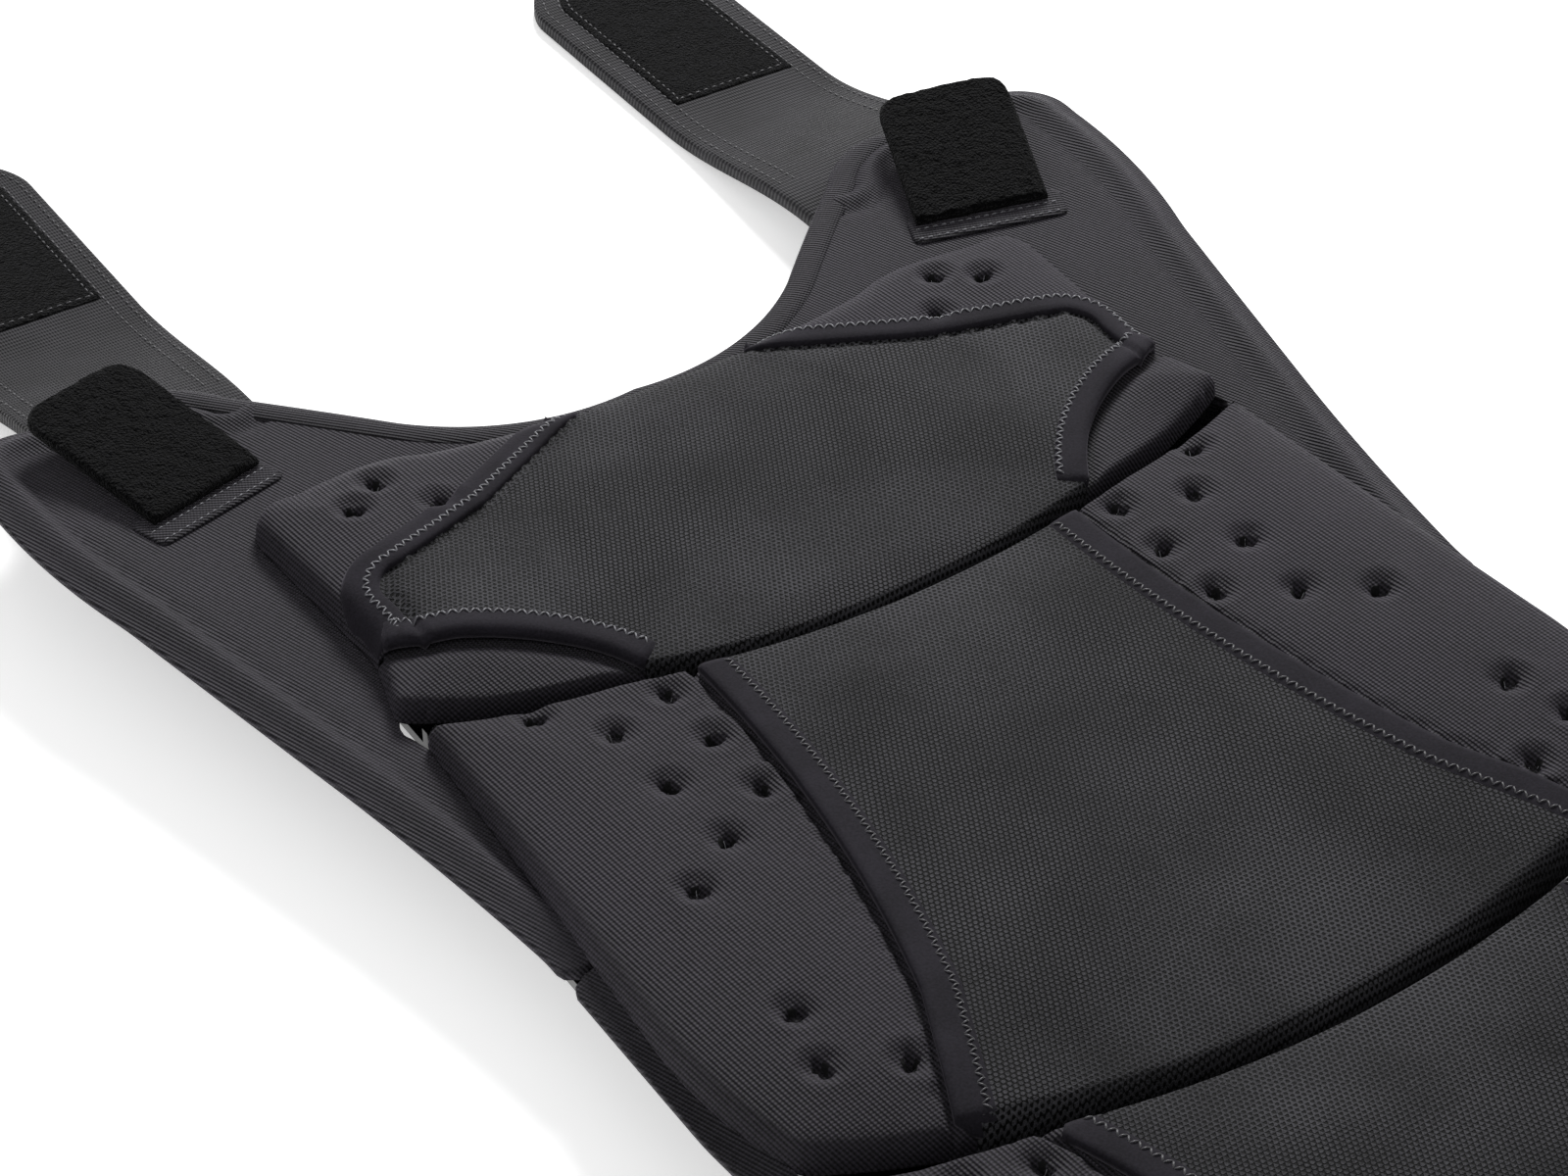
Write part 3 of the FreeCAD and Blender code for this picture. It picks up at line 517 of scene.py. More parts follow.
def webbing(name, colour, pitch=0.0016, direction=(0.0, 1.0, 0.3)):
    """Flat woven or elastic band: ribs across it and a fine lengthwise weave."""
    material, tree, principled = shader(name, colour, 0.66, Sheen_Weight=0.09,
                                        Sheen_Roughness=0.4, Specular_IOR_Level=0.18)
    place = node(tree, "ShaderNodeTexCoord").outputs["Object"]
    ribs = wave(tree, place, direction, pitch)
    fine = wave(tree, place, (direction[1], direction[0], 0.2), pitch * 0.5)
    weave = maths(tree, "MULTIPLY_ADD", fine, 0.45, ribs)
    cloud = node(tree, "ShaderNodeTexNoise", {"Vector": place, "Scale": 60.0, "Detail": 3.0})
    tone = maths(tree, "MULTIPLY_ADD", weave, 0.22, cloud.outputs[0])
    base = ramp(tree, tone, 0.2, 0.85, tuple(c * 0.45 for c in colour),
                tuple(c * 1.7 for c in colour))
    tree.links.new(base, principled.inputs["Base Color"])
    bumped(tree, principled, weave, 0.8, 0.0002)
    return material


def foam(name, colour):
    """Closed-cell foam with fine cells."""
    material, tree, principled = shader(name, colour, 0.85, Specular_IOR_Level=0.25)
    place = node(tree, "ShaderNodeTexCoord").outputs["Object"]
    cells = node(tree, "ShaderNodeTexVoronoi", {"Vector": place, "Scale": 900.0})
    base = ramp(tree, cells.outputs[0], 0.0, 0.6, tuple(c * 0.5 for c in colour),
                tuple(c * 1.4 for c in colour))
    tree.links.new(base, principled.inputs["Base Color"])
    bumped(tree, principled, cells.outputs[0], 0.6, 0.0003)
    return material


def gloss_plastic(name, colour):
    """Polished moulding with faint flow marks and light scuffs."""
    material, tree, principled = shader(name, colour, 0.16, Coat_Weight=0.6,
                                        Coat_Roughness=0.06, Specular_IOR_Level=0.5)
    place = node(tree, "ShaderNodeTexCoord").outputs["Object"]
    scuff = node(tree, "ShaderNodeTexNoise", {"Vector": place, "Scale": 120.0, "Detail": 8.0})
    rough = maths(tree, "MULTIPLY_ADD", scuff.outputs[0], 0.2, 0.06)
    tree.links.new(rough, principled.inputs["Roughness"])
    ripple = node(tree, "ShaderNodeTexNoise", {"Vector": place, "Scale": 18.0, "Detail": 2.0})
    bumped(tree, principled, ripple.outputs[0], 0.12, 0.001)
    return material


def yarn(name, colour):
    """Twisted sewing thread."""
    material, tree, principled = shader(name, colour, 0.42, Sheen_Weight=0.3,
                                        Specular_IOR_Level=0.5)
    place = node(tree, "ShaderNodeTexCoord").outputs["Object"]
    twist = node(tree, "ShaderNodeTexNoise", {"Vector": place, "Scale": 1800.0, "Detail": 2.0})
    base = ramp(tree, twist.outputs[0], 0.35, 0.7, tuple(c * 0.35 for c in colour),
                tuple(c * 1.3 for c in colour))
    tree.links.new(base, principled.inputs["Base Color"])
    return material


def steel(name, colour):
    """Dark brushed steel."""
    material, tree, principled = shader(name, colour, 0.35, Metallic=1.0)
    place = node(tree, "ShaderNodeTexCoord").outputs["Object"]
    brush = node(tree, "ShaderNodeTexNoise", {"Vector": place, "Scale": 700.0, "Detail": 3.0})
    rough = maths(tree, "MULTIPLY_ADD", brush.outputs[0], 0.3, 0.2)
    tree.links.new(rough, principled.inputs["Roughness"])
    return material


LOOKS = {
    "jersey": jersey("wing_jersey", (0.0150, 0.0134, 0.0174)),
    "carrier_fabric": jersey("carrier_jersey", (0.0155, 0.0142, 0.0178), rib=0.00100,
                             direction=(0.94, 0.34, 0.6)),
    "spacer_mesh": spacer_mesh("open_mesh", (0.0125, 0.0123, 0.0138)),
    "binding_tape": suede("tape_suede", (0.0108, 0.0096, 0.0130)),
    "neck_binding": jersey("neck_jersey", (0.0125, 0.0116, 0.0142), rib=0.0010,
                           direction=(0.7, 0.7, 0.6)),
    "loop_pile": pile("loop_pile", (0.0040, 0.0040, 0.0046)),
    "hook_pile": pile("hook_pile", (0.0022, 0.0022, 0.0027)),
    "patch_fabric": jersey("patch_jersey", (0.0115, 0.0106, 0.0135), rib=0.0010,
                           direction=(0.4, 0.9, 0.5)),
    "strap_fabric": webbing("strap_weave", (0.0120, 0.0113, 0.0137)),
    "belt_elastic": webbing("belt_elastic", (0.0120, 0.0114, 0.0136),
                            pitch=0.0024, direction=(1.0, 0.0, 0.4)),
    "foam": foam("core_foam", (0.020, 0.020, 0.023)),
    # painted shade: a darker copy of the wing jersey for the shaded side walls of the cushions
    "cushion_edge": jersey("side_jersey", (0.0075, 0.0068, 0.0088)),
    "hard_plate": gloss_plastic("plate_gloss", (0.0065, 0.0065, 0.0075)),
    "rivet_steel": steel("rivet_steel", (0.30, 0.30, 0.32)),
    # painted shade: near-black colour for the shade down in the punctures
    "puncture": foam("puncture_foam", (0.0012, 0.0012, 0.0014)),
}
STITCH_LIGHT = yarn("thread_light", (0.16, 0.16, 0.18))
STITCH_DARK = yarn("thread_dark", (0.040, 0.038, 0.046))


def dress(piece, slot_name, body, replaced=(), material=None):
    """Gives a piece the material of its record slot, ties it to its body when that is a name (a fold tuple only
    bakes its transform) and hides the nodes it stands for.
    """
    piece.data.materials.clear()
    piece.data.materials.append(material or LOOKS[slot_name])
    if isinstance(body, str):
        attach(piece, body)
    else:
        first, second, start_y, end_y = body
        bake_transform(piece)
    if replaced:
        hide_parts(*replaced)
    return piece


# ------------------------------------------------------------------ pads
SIDES = ((1, "right"), (-1, "left"))
PADS = ("shoulder", "upper_back", "lower_back", "lumbar")
BODY = {"shoulder": "shoulders"}
PAD_TOP = {"upper_back": HINGE_UPPER - 9.0, "lower_back": HINGE_MIDDLE - 9.0,
           "lumbar": HINGE_LOWER - 9.0}
SKIN = 1.1                  # thickness of the jersey and of the mesh over the cushions
TAPE_HALF = 4.6             # half width of the binding tapes
EAR_TAPE = 7.6              # width of the tape around the shoulder pad's cut-outs


def on_side(path, side):
    """A right-hand path, or its mirror image."""
    return path if side > 0 else mirrored(path)


def pad_outline(name):
    """Closed outline of a pad."""
    y1, y2, y3 = (PAD_TOP[k] for k in ("upper_back", "lower_back", "lumbar"))
    if name == "shoulder":
        half = trace((0, 102.5), ((32, 103.5), (64, 107)), ((84, 111), (103, 106.8)),
                     ((112, 103.5), (115, 96)), (112.3, 42), (114.5, 34), (118.6, 20.5),
                     (110, 16.5), ((58, y1 + GAP + 5), (0, y1 + GAP)))
    elif name == "upper_back":
        half = trace((0, y1), ((60, y1 + 5.3), (113, y1 + 18.6)),
                     ((115.6, y1 + 18.8), (116.5, y1 + 15.5)), ((119.5, -45), (123, -95)),
                     ((122.5, -122), (117, y2 + GAP + 24)),
                     ((60, y2 + GAP + 6), (0, y2 + GAP)))
    elif name == "lower_back":
        half = trace((0, y2), ((60, y2 + 5.3), (113, y2 + 18.6)),
                     ((115.6, y2 + 18.8), (116, y2 + 15.5)), ((110, -235), (103.5, y3 + GAP + 20)),
                     ((58, y3 + GAP + 6.2), (0, y3 + GAP)))
    else:
        half = trace((0, y3), ((54, y3 + 4.3), (99, y3 + 14.3)),
                     ((101.6, y3 + 14.2), (102.5, y3 + 10.5)), (97, -372),
                     ((84, -398), (58, -408)), ((30, -413), (0, -415)))
    return softened(closed(half), 2)


# Seams on the right half. Each runs across its pad from edge to edge, past both.
WING_SEAM = {
    "shoulder": trace((20, 116), (24, 104), (32, 98.6), (67, 78), (96, 66.5),
                      ((105.5, 61), (107.6, 50)), ((107.9, 40), (109.6, 30)), (112.0, 18)),
    "upper_back": trace((49.5, 10), ((52.6, -55), (67, -122)), (92, -178)),
    "lower_back": trace((80, -140), ((53, -236), (75, -325))),
    "lumbar": trace((69, -300), ((47, -360), (27, -425))),
}
EAR_SEAM = trace((116, 40.5), (108.5, 38), (103, 34.6), ((82, 25), (63, 3)), (60, -10))

DIMPLES = {
    "shoulder": [(93, 88.5), (83, 96.5), (73.5, 81.5)],
    "upper_back": [(94, 0), (64, -8.7), (82, -15.4), (63.5, -27.4), (81, -37), (63.5, -47.4),
                   (79.5, -58.6), (94.3, -70), (101, -128), (84, -135), (97, -112)],
    "lower_back": [(94, -166), (78, -172), (94, -186), (79, -193), (90, -207),
                   (84, -286), (93, -272), (97, -291)],
    "lumbar": [(86, -322), (72, -328), (84, -344), (70, -352), (78, -368)],
}
DIMPLE_REACH = 8.5


def dimple_spots(name):
    """Places of a pad's punctures on both sides."""
    return [np.array((side * x, y)) for x, y in DIMPLES[name] for side, _ in SIDES]


def dimple_sink(points, spots):
    """How far the cloth is pulled down: a soft crater, pinched folds and a ragged hole."""
    sink = np.zeros(len(points))
    for k, spot in enumerate(spots):
        away = points - spot
        far = np.linalg.norm(away, axis=1)
        turn = np.arctan2(away[:, 1], away[:, 0])
        folds = 1 + 0.30 * np.cos(3 * turn + 2.1 * k) + 0.22 * np.cos(5 * turn + 1.3 * k)
        hole = far / (1.7 * (1 + 0.28 * np.cos(2 * turn + 0.9 * k) + 0.16 * np.cos(5 * turn + k)))
        sink += 1.9 * np.exp(-(far / 3.7) ** 2)
        sink += 0.6 * folds * np.exp(-((far - 2.9) / 1.7) ** 2) * np.exp(-far / 8)
        sink += 3.6 * np.exp(-hole ** 4)
        sink -= 0.3 * np.exp(-((far - 6.2) / 1.8) ** 2)
    return sink


class Pad:
    """The shape of one pad: its outline, seams and the heights of its layers."""

    def __init__(self, name):
        self.name = name
        self.body = BODY.get(name, name)
        self.outline = pad_outline(name)
        self.border = np.array(self.outline)
        self.low, self.high = self.border[:, 1].min(), self.border[:, 1].max()
        self.spots = dimple_spots(name)
        self.seams = [on_side(WING_SEAM[name], side) for side, _ in SIDES]
        self.ears = [on_side(EAR_SEAM, side) for side, _ in SIDES] if name == "shoulder" else []

    def reach(self, points):
        """Width of the rolled edge: wide at the neck, tight elsewhere."""
        x, y = np.abs(points[:, 0]), points[:, 1]
        width = 2.6 + 1.6 * np.clip((x - 90) / 20, 0, 1)
        if self.name == "shoulder":
            width += 8.0 * np.clip((y - 72) / 25, 0, 1) * np.clip((106 - x) / 16, 0, 1)
            width -= 1.5 * np.clip((46 - y) / 8, 0, 1)
        return width

    def edge(self, points):
        """1 on the outline, 0 where the pad has its full height."""
        share = np.clip(distance(points, self.border) / self.reach(points), 0, 1)
        return 1 - np.sqrt(np.clip(1 - (1 - share) ** 2, 0, 1))

    def thinning(self, points):
        """The cushions thin out towards their outer sides."""
        gap = distance(points, self.border)
        outer = np.clip((np.abs(points[:, 0]) - 72) / 26, 0, 1)
        return 4.2 * outer * (1 - np.clip(gap / 22, 0, 1)) ** 1.7

    def swell(self, points):
        """A gentle crown; the shoulder pad also dives under the next pad."""
        middle, half = (self.low + self.high) / 2, (self.high - self.low) / 2
        rise = np.clip(1 - ((points[:, 1] - middle) / half) ** 2, 0, 1)
        if self.name == "shoulder":
            rise = rise - 1.1 * np.clip((12 - points[:, 1]) / 16, 0, 1) ** 1.5
        return rise

    def beside(self, points, paths, offset, depth, width=0.85):
        """A narrow channel at a distance from seams."""
        out = np.zeros(len(points))
        for path in paths:
            gap = distance(points, path, loop=False)
            out += depth * np.exp(-((gap - offset) / width) ** 2)
        return out

    def top(self, level, kind):
        """Height function of a skin: "wing", "mesh" or "ear"."""
        def height(points):
            rest = dish(points[:, 0], level) + self.swell(points) * (1.5 if kind == "mesh" else 0.7)
            rest -= self.thinning(points)
            rest -= dimple_sink(points, self.spots)
            if kind == "mesh":
                if self.name == "shoulder":
                    rest -= self.beside(points, self.seams, TAPE_HALF + 0.7, 1.7, 0.75)
            elif kind == "wing":
                if self.name != "shoulder":
                    rest -= self.beside(points, self.seams, TAPE_HALF + 0.8, 2.8, 0.85)
            else:
                rest -= self.beside(points, self.ears, 0.0, 2.6, 3.4)
            foot = dish(points[:, 0], PAD_FOOT + 0.6)
            return rest - (rest - foot) * self.edge(points)
        return height


def beyond(centres, path, side):
    """Which points lie on the outer side of an open path."""
    far = 400 * side
    ring = list(path) + [(far, path[-1][1]), (far, path[0][1])]
    return inside(centres, ring)


def skin_under(top, thickness):
    """Underside of a skin."""
    def height(points):
        return np.maximum(top(points) - thickness, dish(points[:, 0], PAD_FOOT))
    return height


HELD_AT_RIM = 5.0           # the cloth is held this close to the rim, the seams and the punctures
HELD_AT_SEAM = 7.0
HELD_AT_PUNCTURE = 3.2


def swollen(piece, pad, frames=7, most=0.9):
    """Lets a skin swell over its cushion as cloth, held at its rims, seams and punctures."""
    rest = np.array([v.co for v in piece.data.vertices], float)
    flat = rest[:, :2] * 1000
    flat[:, 1] -= SHIFT
    half = len(rest) // 2
    free = distance(flat, pad.border) > HELD_AT_RIM
    for path in pad.seams + pad.ears:
        free &= distance(flat, path, loop=False) > HELD_AT_SEAM
    for spot in pad.spots:
        free &= np.linalg.norm(flat - spot, axis=1) > HELD_AT_PUNCTURE
    free[half:] = False
    group = piece.vertex_groups.new(name="held")
    group.add([int(k) for k in np.nonzero(~free)[0]], 1.0, "ADD")
    cloth = piece.modifiers.new("swelling", "CLOTH")
    cloth.settings.quality = 4
    cloth.settings.mass = 0.12
    cloth.settings.use_pressure = True
    cloth.settings.uniform_pressure_force = 4.0
    cloth.settings.vertex_group_mass = "held"
    cloth.settings.effector_weights.gravity = 0
    cloth.collision_settings.use_collision = False
    cloth.point_cache.frame_start = 1
    cloth.point_cache.frame_end = frames
    for frame_number in range(1, frames + 1):
        bpy.context.scene.frame_set(frame_number)
    shown = piece.evaluated_get(bpy.context.evaluated_depsgraph_get())
    moved = np.array([v.co for v in shown.data.vertices], float) - rest
    piece.modifiers.remove(cloth)
    piece.vertex_groups.clear()
    bpy.context.scene.frame_set(1)
    size = np.linalg.norm(moved, axis=1)
    scale = np.minimum(1, most / 1000 / np.maximum(size, 1e-9))
    for vertex, place in zip(piece.data.vertices, rest + moved * scale[:, None]):
        vertex.co = place
    piece.data.update()


def shade_punctures(piece, spots):
    """Paints the faces inside the punctures near-black: painted shade down in the holes."""
    piece.data.materials.append(LOOKS["puncture"])
    for polygon in piece.data.polygons:
        centre = np.array(polygon.center[:2]) * 1000
        centre[1] -= SHIFT
        for k, spot in enumerate(spots):
            away = centre - spot
            turn = math.atan2(away[1], away[0])
            if np.linalg.norm(away) < 1.75 * (1 + 0.25 * math.cos(3 * turn + k)):
                polygon.material_index = 1


def pad_skins(pad):
    """Wings, ears and mesh field of one pad; returns the height functions of their skins."""
    guides = []
    for path in pad.seams:
        line = resampled(path, 1.8)
        guides.append([tuple(p) for p in line])
        for amount in (-5.4, 5.4):
            guides.append([tuple(p) for p in sideways(line, amount)])
    guides += [[tuple(p) for p in resampled(path, 1.8)] for path in pad.ears]
    extra = [(spot, DIMPLE_REACH) for spot in pad.spots]
    verts, faces = cut_cloth(pad.outline, guides, spacing=2.6, extra=extra)
    centres = np.array([verts[list(f)].mean(0) for f in faces])
    taken = np.zeros(len(faces), bool)
    shapes = {"wing": pad.top(WING_TOP, "wing"), "mesh": pad.top(MESH_TOP - 1.2, "mesh"),
              "ear": pad.top(25.2, "ear")}
    pieces = []
    for side, mark in SIDES:
        wing = beyond(centres, WING_SEAM_ON[pad.name][side], side)
        if pad.name == "shoulder":
            ear = beyond(centres, EAR_SEAM_ON[side], side) & (centres[:, 1] < 41)
            pieces.append((f"ear_{mark}", ear, "ear", [f"shoulder_ear_{mark}"]))
            wing &= ~ear
            taken |= ear
        pieces.append((f"{pad.name}_wing_{mark}", wing, "wing",
                       [f"{pad.name}_jersey_wing_{mark}"]))
        taken |= wing
    pieces.append((f"{pad.name}_mesh_field", ~taken, "mesh", [f"{pad.name}_spacer_mesh"]))
    for label, chosen, kind, nodes in pieces:
        top = shapes[kind]
        piece = shell(label, verts, [f for f, k in zip(faces, chosen) if k], top,
                      skin_under(top, SKIN))
        swollen(piece, pad)
        dress(piece, "spacer_mesh" if kind == "mesh" else "jersey", pad.body, nodes)
        if kind == "wing":
            shade_punctures(piece, pad.spots)
    return shapes


def cushion(pad, shapes):
    """The soft cushion inside the skins, a little smaller all round."""
    middle = pad.border.mean(0)
    inner = [tuple(p) for p in middle + (pad.border - middle) * 0.985]
    verts, faces = cut_cloth(inner, spacing=5.0, rings=(1.5, 4.0))

    def top(points):
        low = np.minimum(shapes["wing"](points), shapes["mesh"](points))
        return np.maximum(low - SKIN - 0.9, dish(points[:, 0], PAD_FOOT + 0.3))
    piece = shell(f"{pad.name}_cushion_body", verts, faces, top,
                  lambda points: dish(points[:, 0], PAD_FOOT))
    # the cushion's visible side walls take the darker jersey as painted shade
    dress(piece, "cushion_edge", pad.body, [f"{pad.name}_cushion"])


def inner_part(path, outline, margin):
    """The stretch of a path that lies inside an outline by a margin."""
    line = resampled(path, 1.2)
    keep = inside(line, outline) & (distance(line, outline) > margin)
    return line[keep]


def tape_band(label, path, ground, body, replaced, profile, stitch_at, stitch_rise, light):
    """Binding tape along a seam, with its zig-zag seam."""
    band = strip(label, path, profile, ground, taper=1.5)
    dress(band, "binding_tape", body, replaced)
    line = sideways(path, stitch_at)

    def seam_ground(points):
        return ground(points) + stitch_rise
    stitches = zigzag(label + "_stitches", line[2:-2], seam_ground, pitch=2.7, width=1.9,
                      radius=0.21)
    dress(stitches, "binding_tape", body, material=STITCH_LIGHT if light else STITCH_DARK)


# Cross-sections of the tapes: positive places lie outwards, on the wing or on the ear.
FREE_AT_MESH = [(TAPE_HALF, -0.9), (TAPE_HALF, 0.0), (3.6, 0.42), (1.2, 0.55), (-1.5, 0.62),
                (-3.9, 0.72), (-4.5, 0.5), (-TAPE_HALF, 0.0), (-TAPE_HALF, -1.3)]
FREE_AT_WING = [(TAPE_HALF, -1.6), (TAPE_HALF + 0.05, 0.1), (4.3, 0.62), (3.0, 0.8), (0.0, 0.72),
                (-2.4, 0.6), (-3.9, 0.4), (-TAPE_HALF, 0.0), (-TAPE_HALF, -0.9)]
AT_EAR = [(0.9, -1.9), (1.1, 0.0), (0.6, 0.85), (-0.9, 1.25), (-2.6, 1.15), (-4.6, 0.85),
          (-6.4, 0.6), (-EAR_TAPE, 0.0), (-EAR_TAPE, -0.9)]
WING_SEAM_ON = {name: {side: on_side(WING_SEAM[name], side) for side, _ in SIDES} for name in PADS}
EAR_SEAM_ON = {side: on_side(EAR_SEAM, side) for side, _ in SIDES}


def knots(pad, top):
    """A pinched knot of thread at the bottom of each puncture, drawn in the light thread as a painted glint."""
    rng = random.Random(len(pad.name))
    runs = []
    for spot in pad.spots:
        for _ in range(2):
            turn = rng.uniform(0, math.pi)
            reach = np.array((math.cos(turn), math.sin(turn))) * rng.uniform(1.1, 1.7)
            line = np.array([spot + reach * t for t in (-1, -0.4, 0.3, 1)])
            base = top(line)
            runs.append(np.column_stack([line, base + np.array([0.1, 0.35, 0.3, 0.05])]))
    piece = thread(f"{pad.name}_knots", runs, 0.16)
    # painted highlight: the knots take the light thread so that they show as glints
    dress(piece, "jersey", pad.body, material=STITCH_LIGHT)


def make_pads():
    """All four pads with their tapes and stitching."""
    for name in PADS:
        pad = Pad(name)
        shapes = pad_skins(pad)
        cushion(pad, shapes)
        knots(pad, shapes["wing"])

        def ground(points):
            return np.maximum(shapes["wing"](points), shapes["mesh"](points)) - 0.3
        for side, mark in SIDES:
            path = inner_part(WING_SEAM_ON[name][side], pad.outline, 0.5)
            if name == "shoulder":
                path = path[path[:, 1] > 37.5]
            if side < 0:
                path = path[::-1]
            path = path[::-1]
            profile = FREE_AT_MESH if name == "shoulder" else FREE_AT_WING
            stitch_at = (-1.4 if side < 0 else 1.6) if name == "shoulder" else -2.4
            tape_band(f"{name}_tape_{mark}", path, ground, pad.body,
                      [f"{name}_binding_tape_{mark}"], profile, stitch_at, 0.55,
                      name == "shoulder")
            if name != "shoulder":
                continue
            path = inner_part(EAR_SEAM_ON[side], pad.outline, 0.5)
            path = path if side < 0 else path[::-1]
            tape_band(f"ear_tape_{mark}", path, ground, pad.body, (), AT_EAR, -5.9, 0.7, True)


# ------------------------------------------------------------------ carrier
def hem_profile(gap):
    """Height over the carrier of the pressed flange, the rolled ridge and the groove beside it."""
    flange = -1.9 * np.clip(1 - gap / 4.5, 0, 1) ** 0.7
    ridge = 1.7 * np.exp(-((gap - 7.5) / 2.4) ** 2)
    groove = -0.9 * np.exp(-((gap - 12.0) / 1.6) ** 2)
    return flange + ridge + groove


NECK = trace((0, 108.5), ((34, 111.5), (62, 127.5)), ((82, 146.5), (95, 158)))
SHOULDER_EDGE = trace((95, 158), ((106, 168), (122, 170.3)), (144, 169.3), ((160, 163),
                      (164.8, 146)), ((163.8, 122), (156, 84)), (139, 7), ((132, -30),
                      (127.3, -62)), (127.3, -70.6))
YOKE_HALF = NECK + SHOULDER_EDGE[1:] + trace((116, -70.6), (115, -6), (116, 12), (118.5, 15),
                                             (118.8, 19), (116, 24), (110, 36), (108, 84),
                                             ((106, 93), (97, 97)), (0, 96))
FLANK_OUTER = trace((127.3, -70.9), (127.3, -125), ((125, -156), (124.3, -170)),
                    ((122.5, -210), (121, -240)))
FLANK_INNER = trace((106, -240), (114, -165), (117.5, -150), (116, -70.9))
LOIN_OUTER = trace((121, -240.3), ((119, -280), (118, -315)), (116, -396),
                   ((108, -420), (84, -428)), (0, -432))
LOIN_INNER = trace((0, -402), (56, -396), ((78, -387), (90, -366)), (101, -312), (106, -240.3))


def carrier_top(edge):
    """Body side of the carrier with its hem along an open edge path."""
    def top(points):
        gap = np.minimum(distance(points, edge, loop=False),
                         distance(points, mirrored(edge), loop=False))
        return dish(points[:, 0], CARRIER_TOP) + hem_profile(gap)
    return top


def carrier_foot(points):
    """Underside of the carrier."""
    return dish(points[:, 0], CARRIER_TOP - 3.6)


def make_carrier():
    """Yoke, neck roll, flanks and lumbar panel; each but the neck roll lies across one hinge, unbent."""
    outline = softened(closed(YOKE_HALF), 2)
    verts, faces = cut_cloth(outline, spacing=2.8, rings=(0.5, 1.6, 3.0, 4.5, 6.0, 7.5, 9.2, 12.0))
    yoke = shell("yoke", verts, faces, carrier_top(SHOULDER_EDGE), carrier_foot)
    dress(yoke, "carrier_fabric", ("shoulders", "upper_back", 12, -10), ["yoke_panel"])

    ring = [(4.0 * math.cos(t), 1.5 * math.sin(t)) for t in
            [2 * math.pi * k / 12 for k in range(12)]]
    end = trace(NECK[-1], ((106, 167), (118, 169)))
    half = NECK + end[1:]
    path = np.array(mirrored(half)[::-1] + half[1:])

    def roll_ground(points):
        return dish(points[:, 0], CARRIER_TOP) - 0.5
    roll = strip("neck_roll", resampled(path, 1.8), ring, roll_ground, taper=14.0)
    dress(roll, "neck_binding", "shoulders", ["neck_binding"])

    for side, mark in SIDES:
        half = softened(on_side(FLANK_OUTER + FLANK_INNER, side), 2)
        verts, faces = cut_cloth(half, spacing=2.8, rings=(0.5, 1.6, 3.0, 4.5))
        flank = shell(f"flank_{mark}", verts, faces, carrier_top(FLANK_OUTER), carrier_foot)
        dress(flank, "carrier_fabric", ("upper_back", "lower_back", -152, -172),
              [f"upper_flank_strip_{mark}"])
    outline = softened(ring_of(LOIN_OUTER, LOIN_INNER), 2)
    verts, faces = cut_cloth(outline, spacing=2.8, rings=(0.5, 1.6, 3.0, 4.5, 6.0, 7.5, 9.2, 12.0))
    panel = shell("lumbar_panel_cover", verts, faces, carrier_top(LOIN_OUTER), carrier_foot)
    dress(panel, "carrier_fabric", ("lower_back", "lumbar", -302, -322),
          ["lower_flank_strip_right", "lower_flank_strip_left", "lumbar_panel"])


def ring_of(edge, inner):
    """A U-shaped outline from its outer and inner right halves."""
    right, back = edge[::-1], inner[::-1]
    return right + back + mirrored(back[:-1])[::-1] + mirrored(right[1:])[::-1]


# ------------------------------------------------------------------ straps and belt
STRAP_INNER, STRAP_OUTER, STRAP_END = 84.0, 140.0, 330.0
STRAP_THICK = 4.0
BELT_THICK = 3.8
STRAP_FOLD_HALF = 0.007     # metres on each side of the fold in the strap's fold tuple; the band is not bent with it
STRAP_FOLD_LEVEL = 0.012
BELT_FOLD_HALF = 0.006


def eased(value, start, end):
    """0 before start, 1 after end, smooth between."""
    t = np.clip((np.asarray(value, float) - start) / (end - start), 0, 1)
    return t * t * (3 - 2 * t)


def strap_top(points):
    """Upper face of a shoulder strap: under the yoke, then down to the table."""
    x, y = np.abs(points[:, 0]), points[:, 1]
    tucked = dish(x, CARRIER_TOP - 3.9) - 0.4
    return tucked + (4.5 - tucked) * eased(y, 158, 234)


def belt_top(points):
    """Upper face of a belt half: under the lumbar panel, then down to the table."""
    x = np.abs(points[:, 0])
    tucked = dish(x, CARRIER_TOP - 3.9) - 0.4
    return tucked + (4.9 - tucked) * eased(x, 112, 194)


def rounded(top, outline, edge=1.1, drop=0.9):
    """A height function whose outer edge is rolled over."""
    def height(points):
        share = np.clip(distance(points, outline) / edge, 0, 1)
        return top(points) - drop * (1 - np.sqrt(np.clip(1 - (1 - share) ** 2, 0, 1)))
    return height


def slab(name, outline, top, thickness, spacing=4.0, rings=(0.4, 1.2, 3.0), **edge):
    """A flat textile piece of even thickness with rolled edges."""
    verts, faces = cut_cloth(outline, spacing=spacing, rings=rings)
    over = rounded(top, outline, **edge)
    return shell(name, verts, faces, over, lambda points: top(points) - thickness)


def inset(outline, amount):
    """A closed outline moved inwards."""
    border = np.array(outline, float)
    ahead = np.roll(border, -1, 0) - np.roll(border, 1, 0)
    ahead /= np.maximum(np.linalg.norm(ahead, axis=1), 1e-9)[:, None]
    area = np.sum(border[:, 0] * np.roll(border[:, 1], -1) - np.roll(border[:, 0], -1) * border[:, 1])
    normal = np.stack([-ahead[:, 1], ahead[:, 0]], 1) * math.copysign(1, area)
    return [tuple(p) for p in border + normal * amount]


def folding(piece, slot_name, fold, nodes=(), material=None):
    """Gives a piece that lies over a fold its material, bakes its transform and hides the nodes it stands for;
    fold is (body, body, start, end), and the piece is neither bent over it nor tied to its bodies.
    """
    piece.data.materials.append(material or LOOKS[slot_name])
    first, second, start, end = fold
    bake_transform(piece)
    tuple(start)
    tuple(end)
    if nodes:
        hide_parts(*nodes)


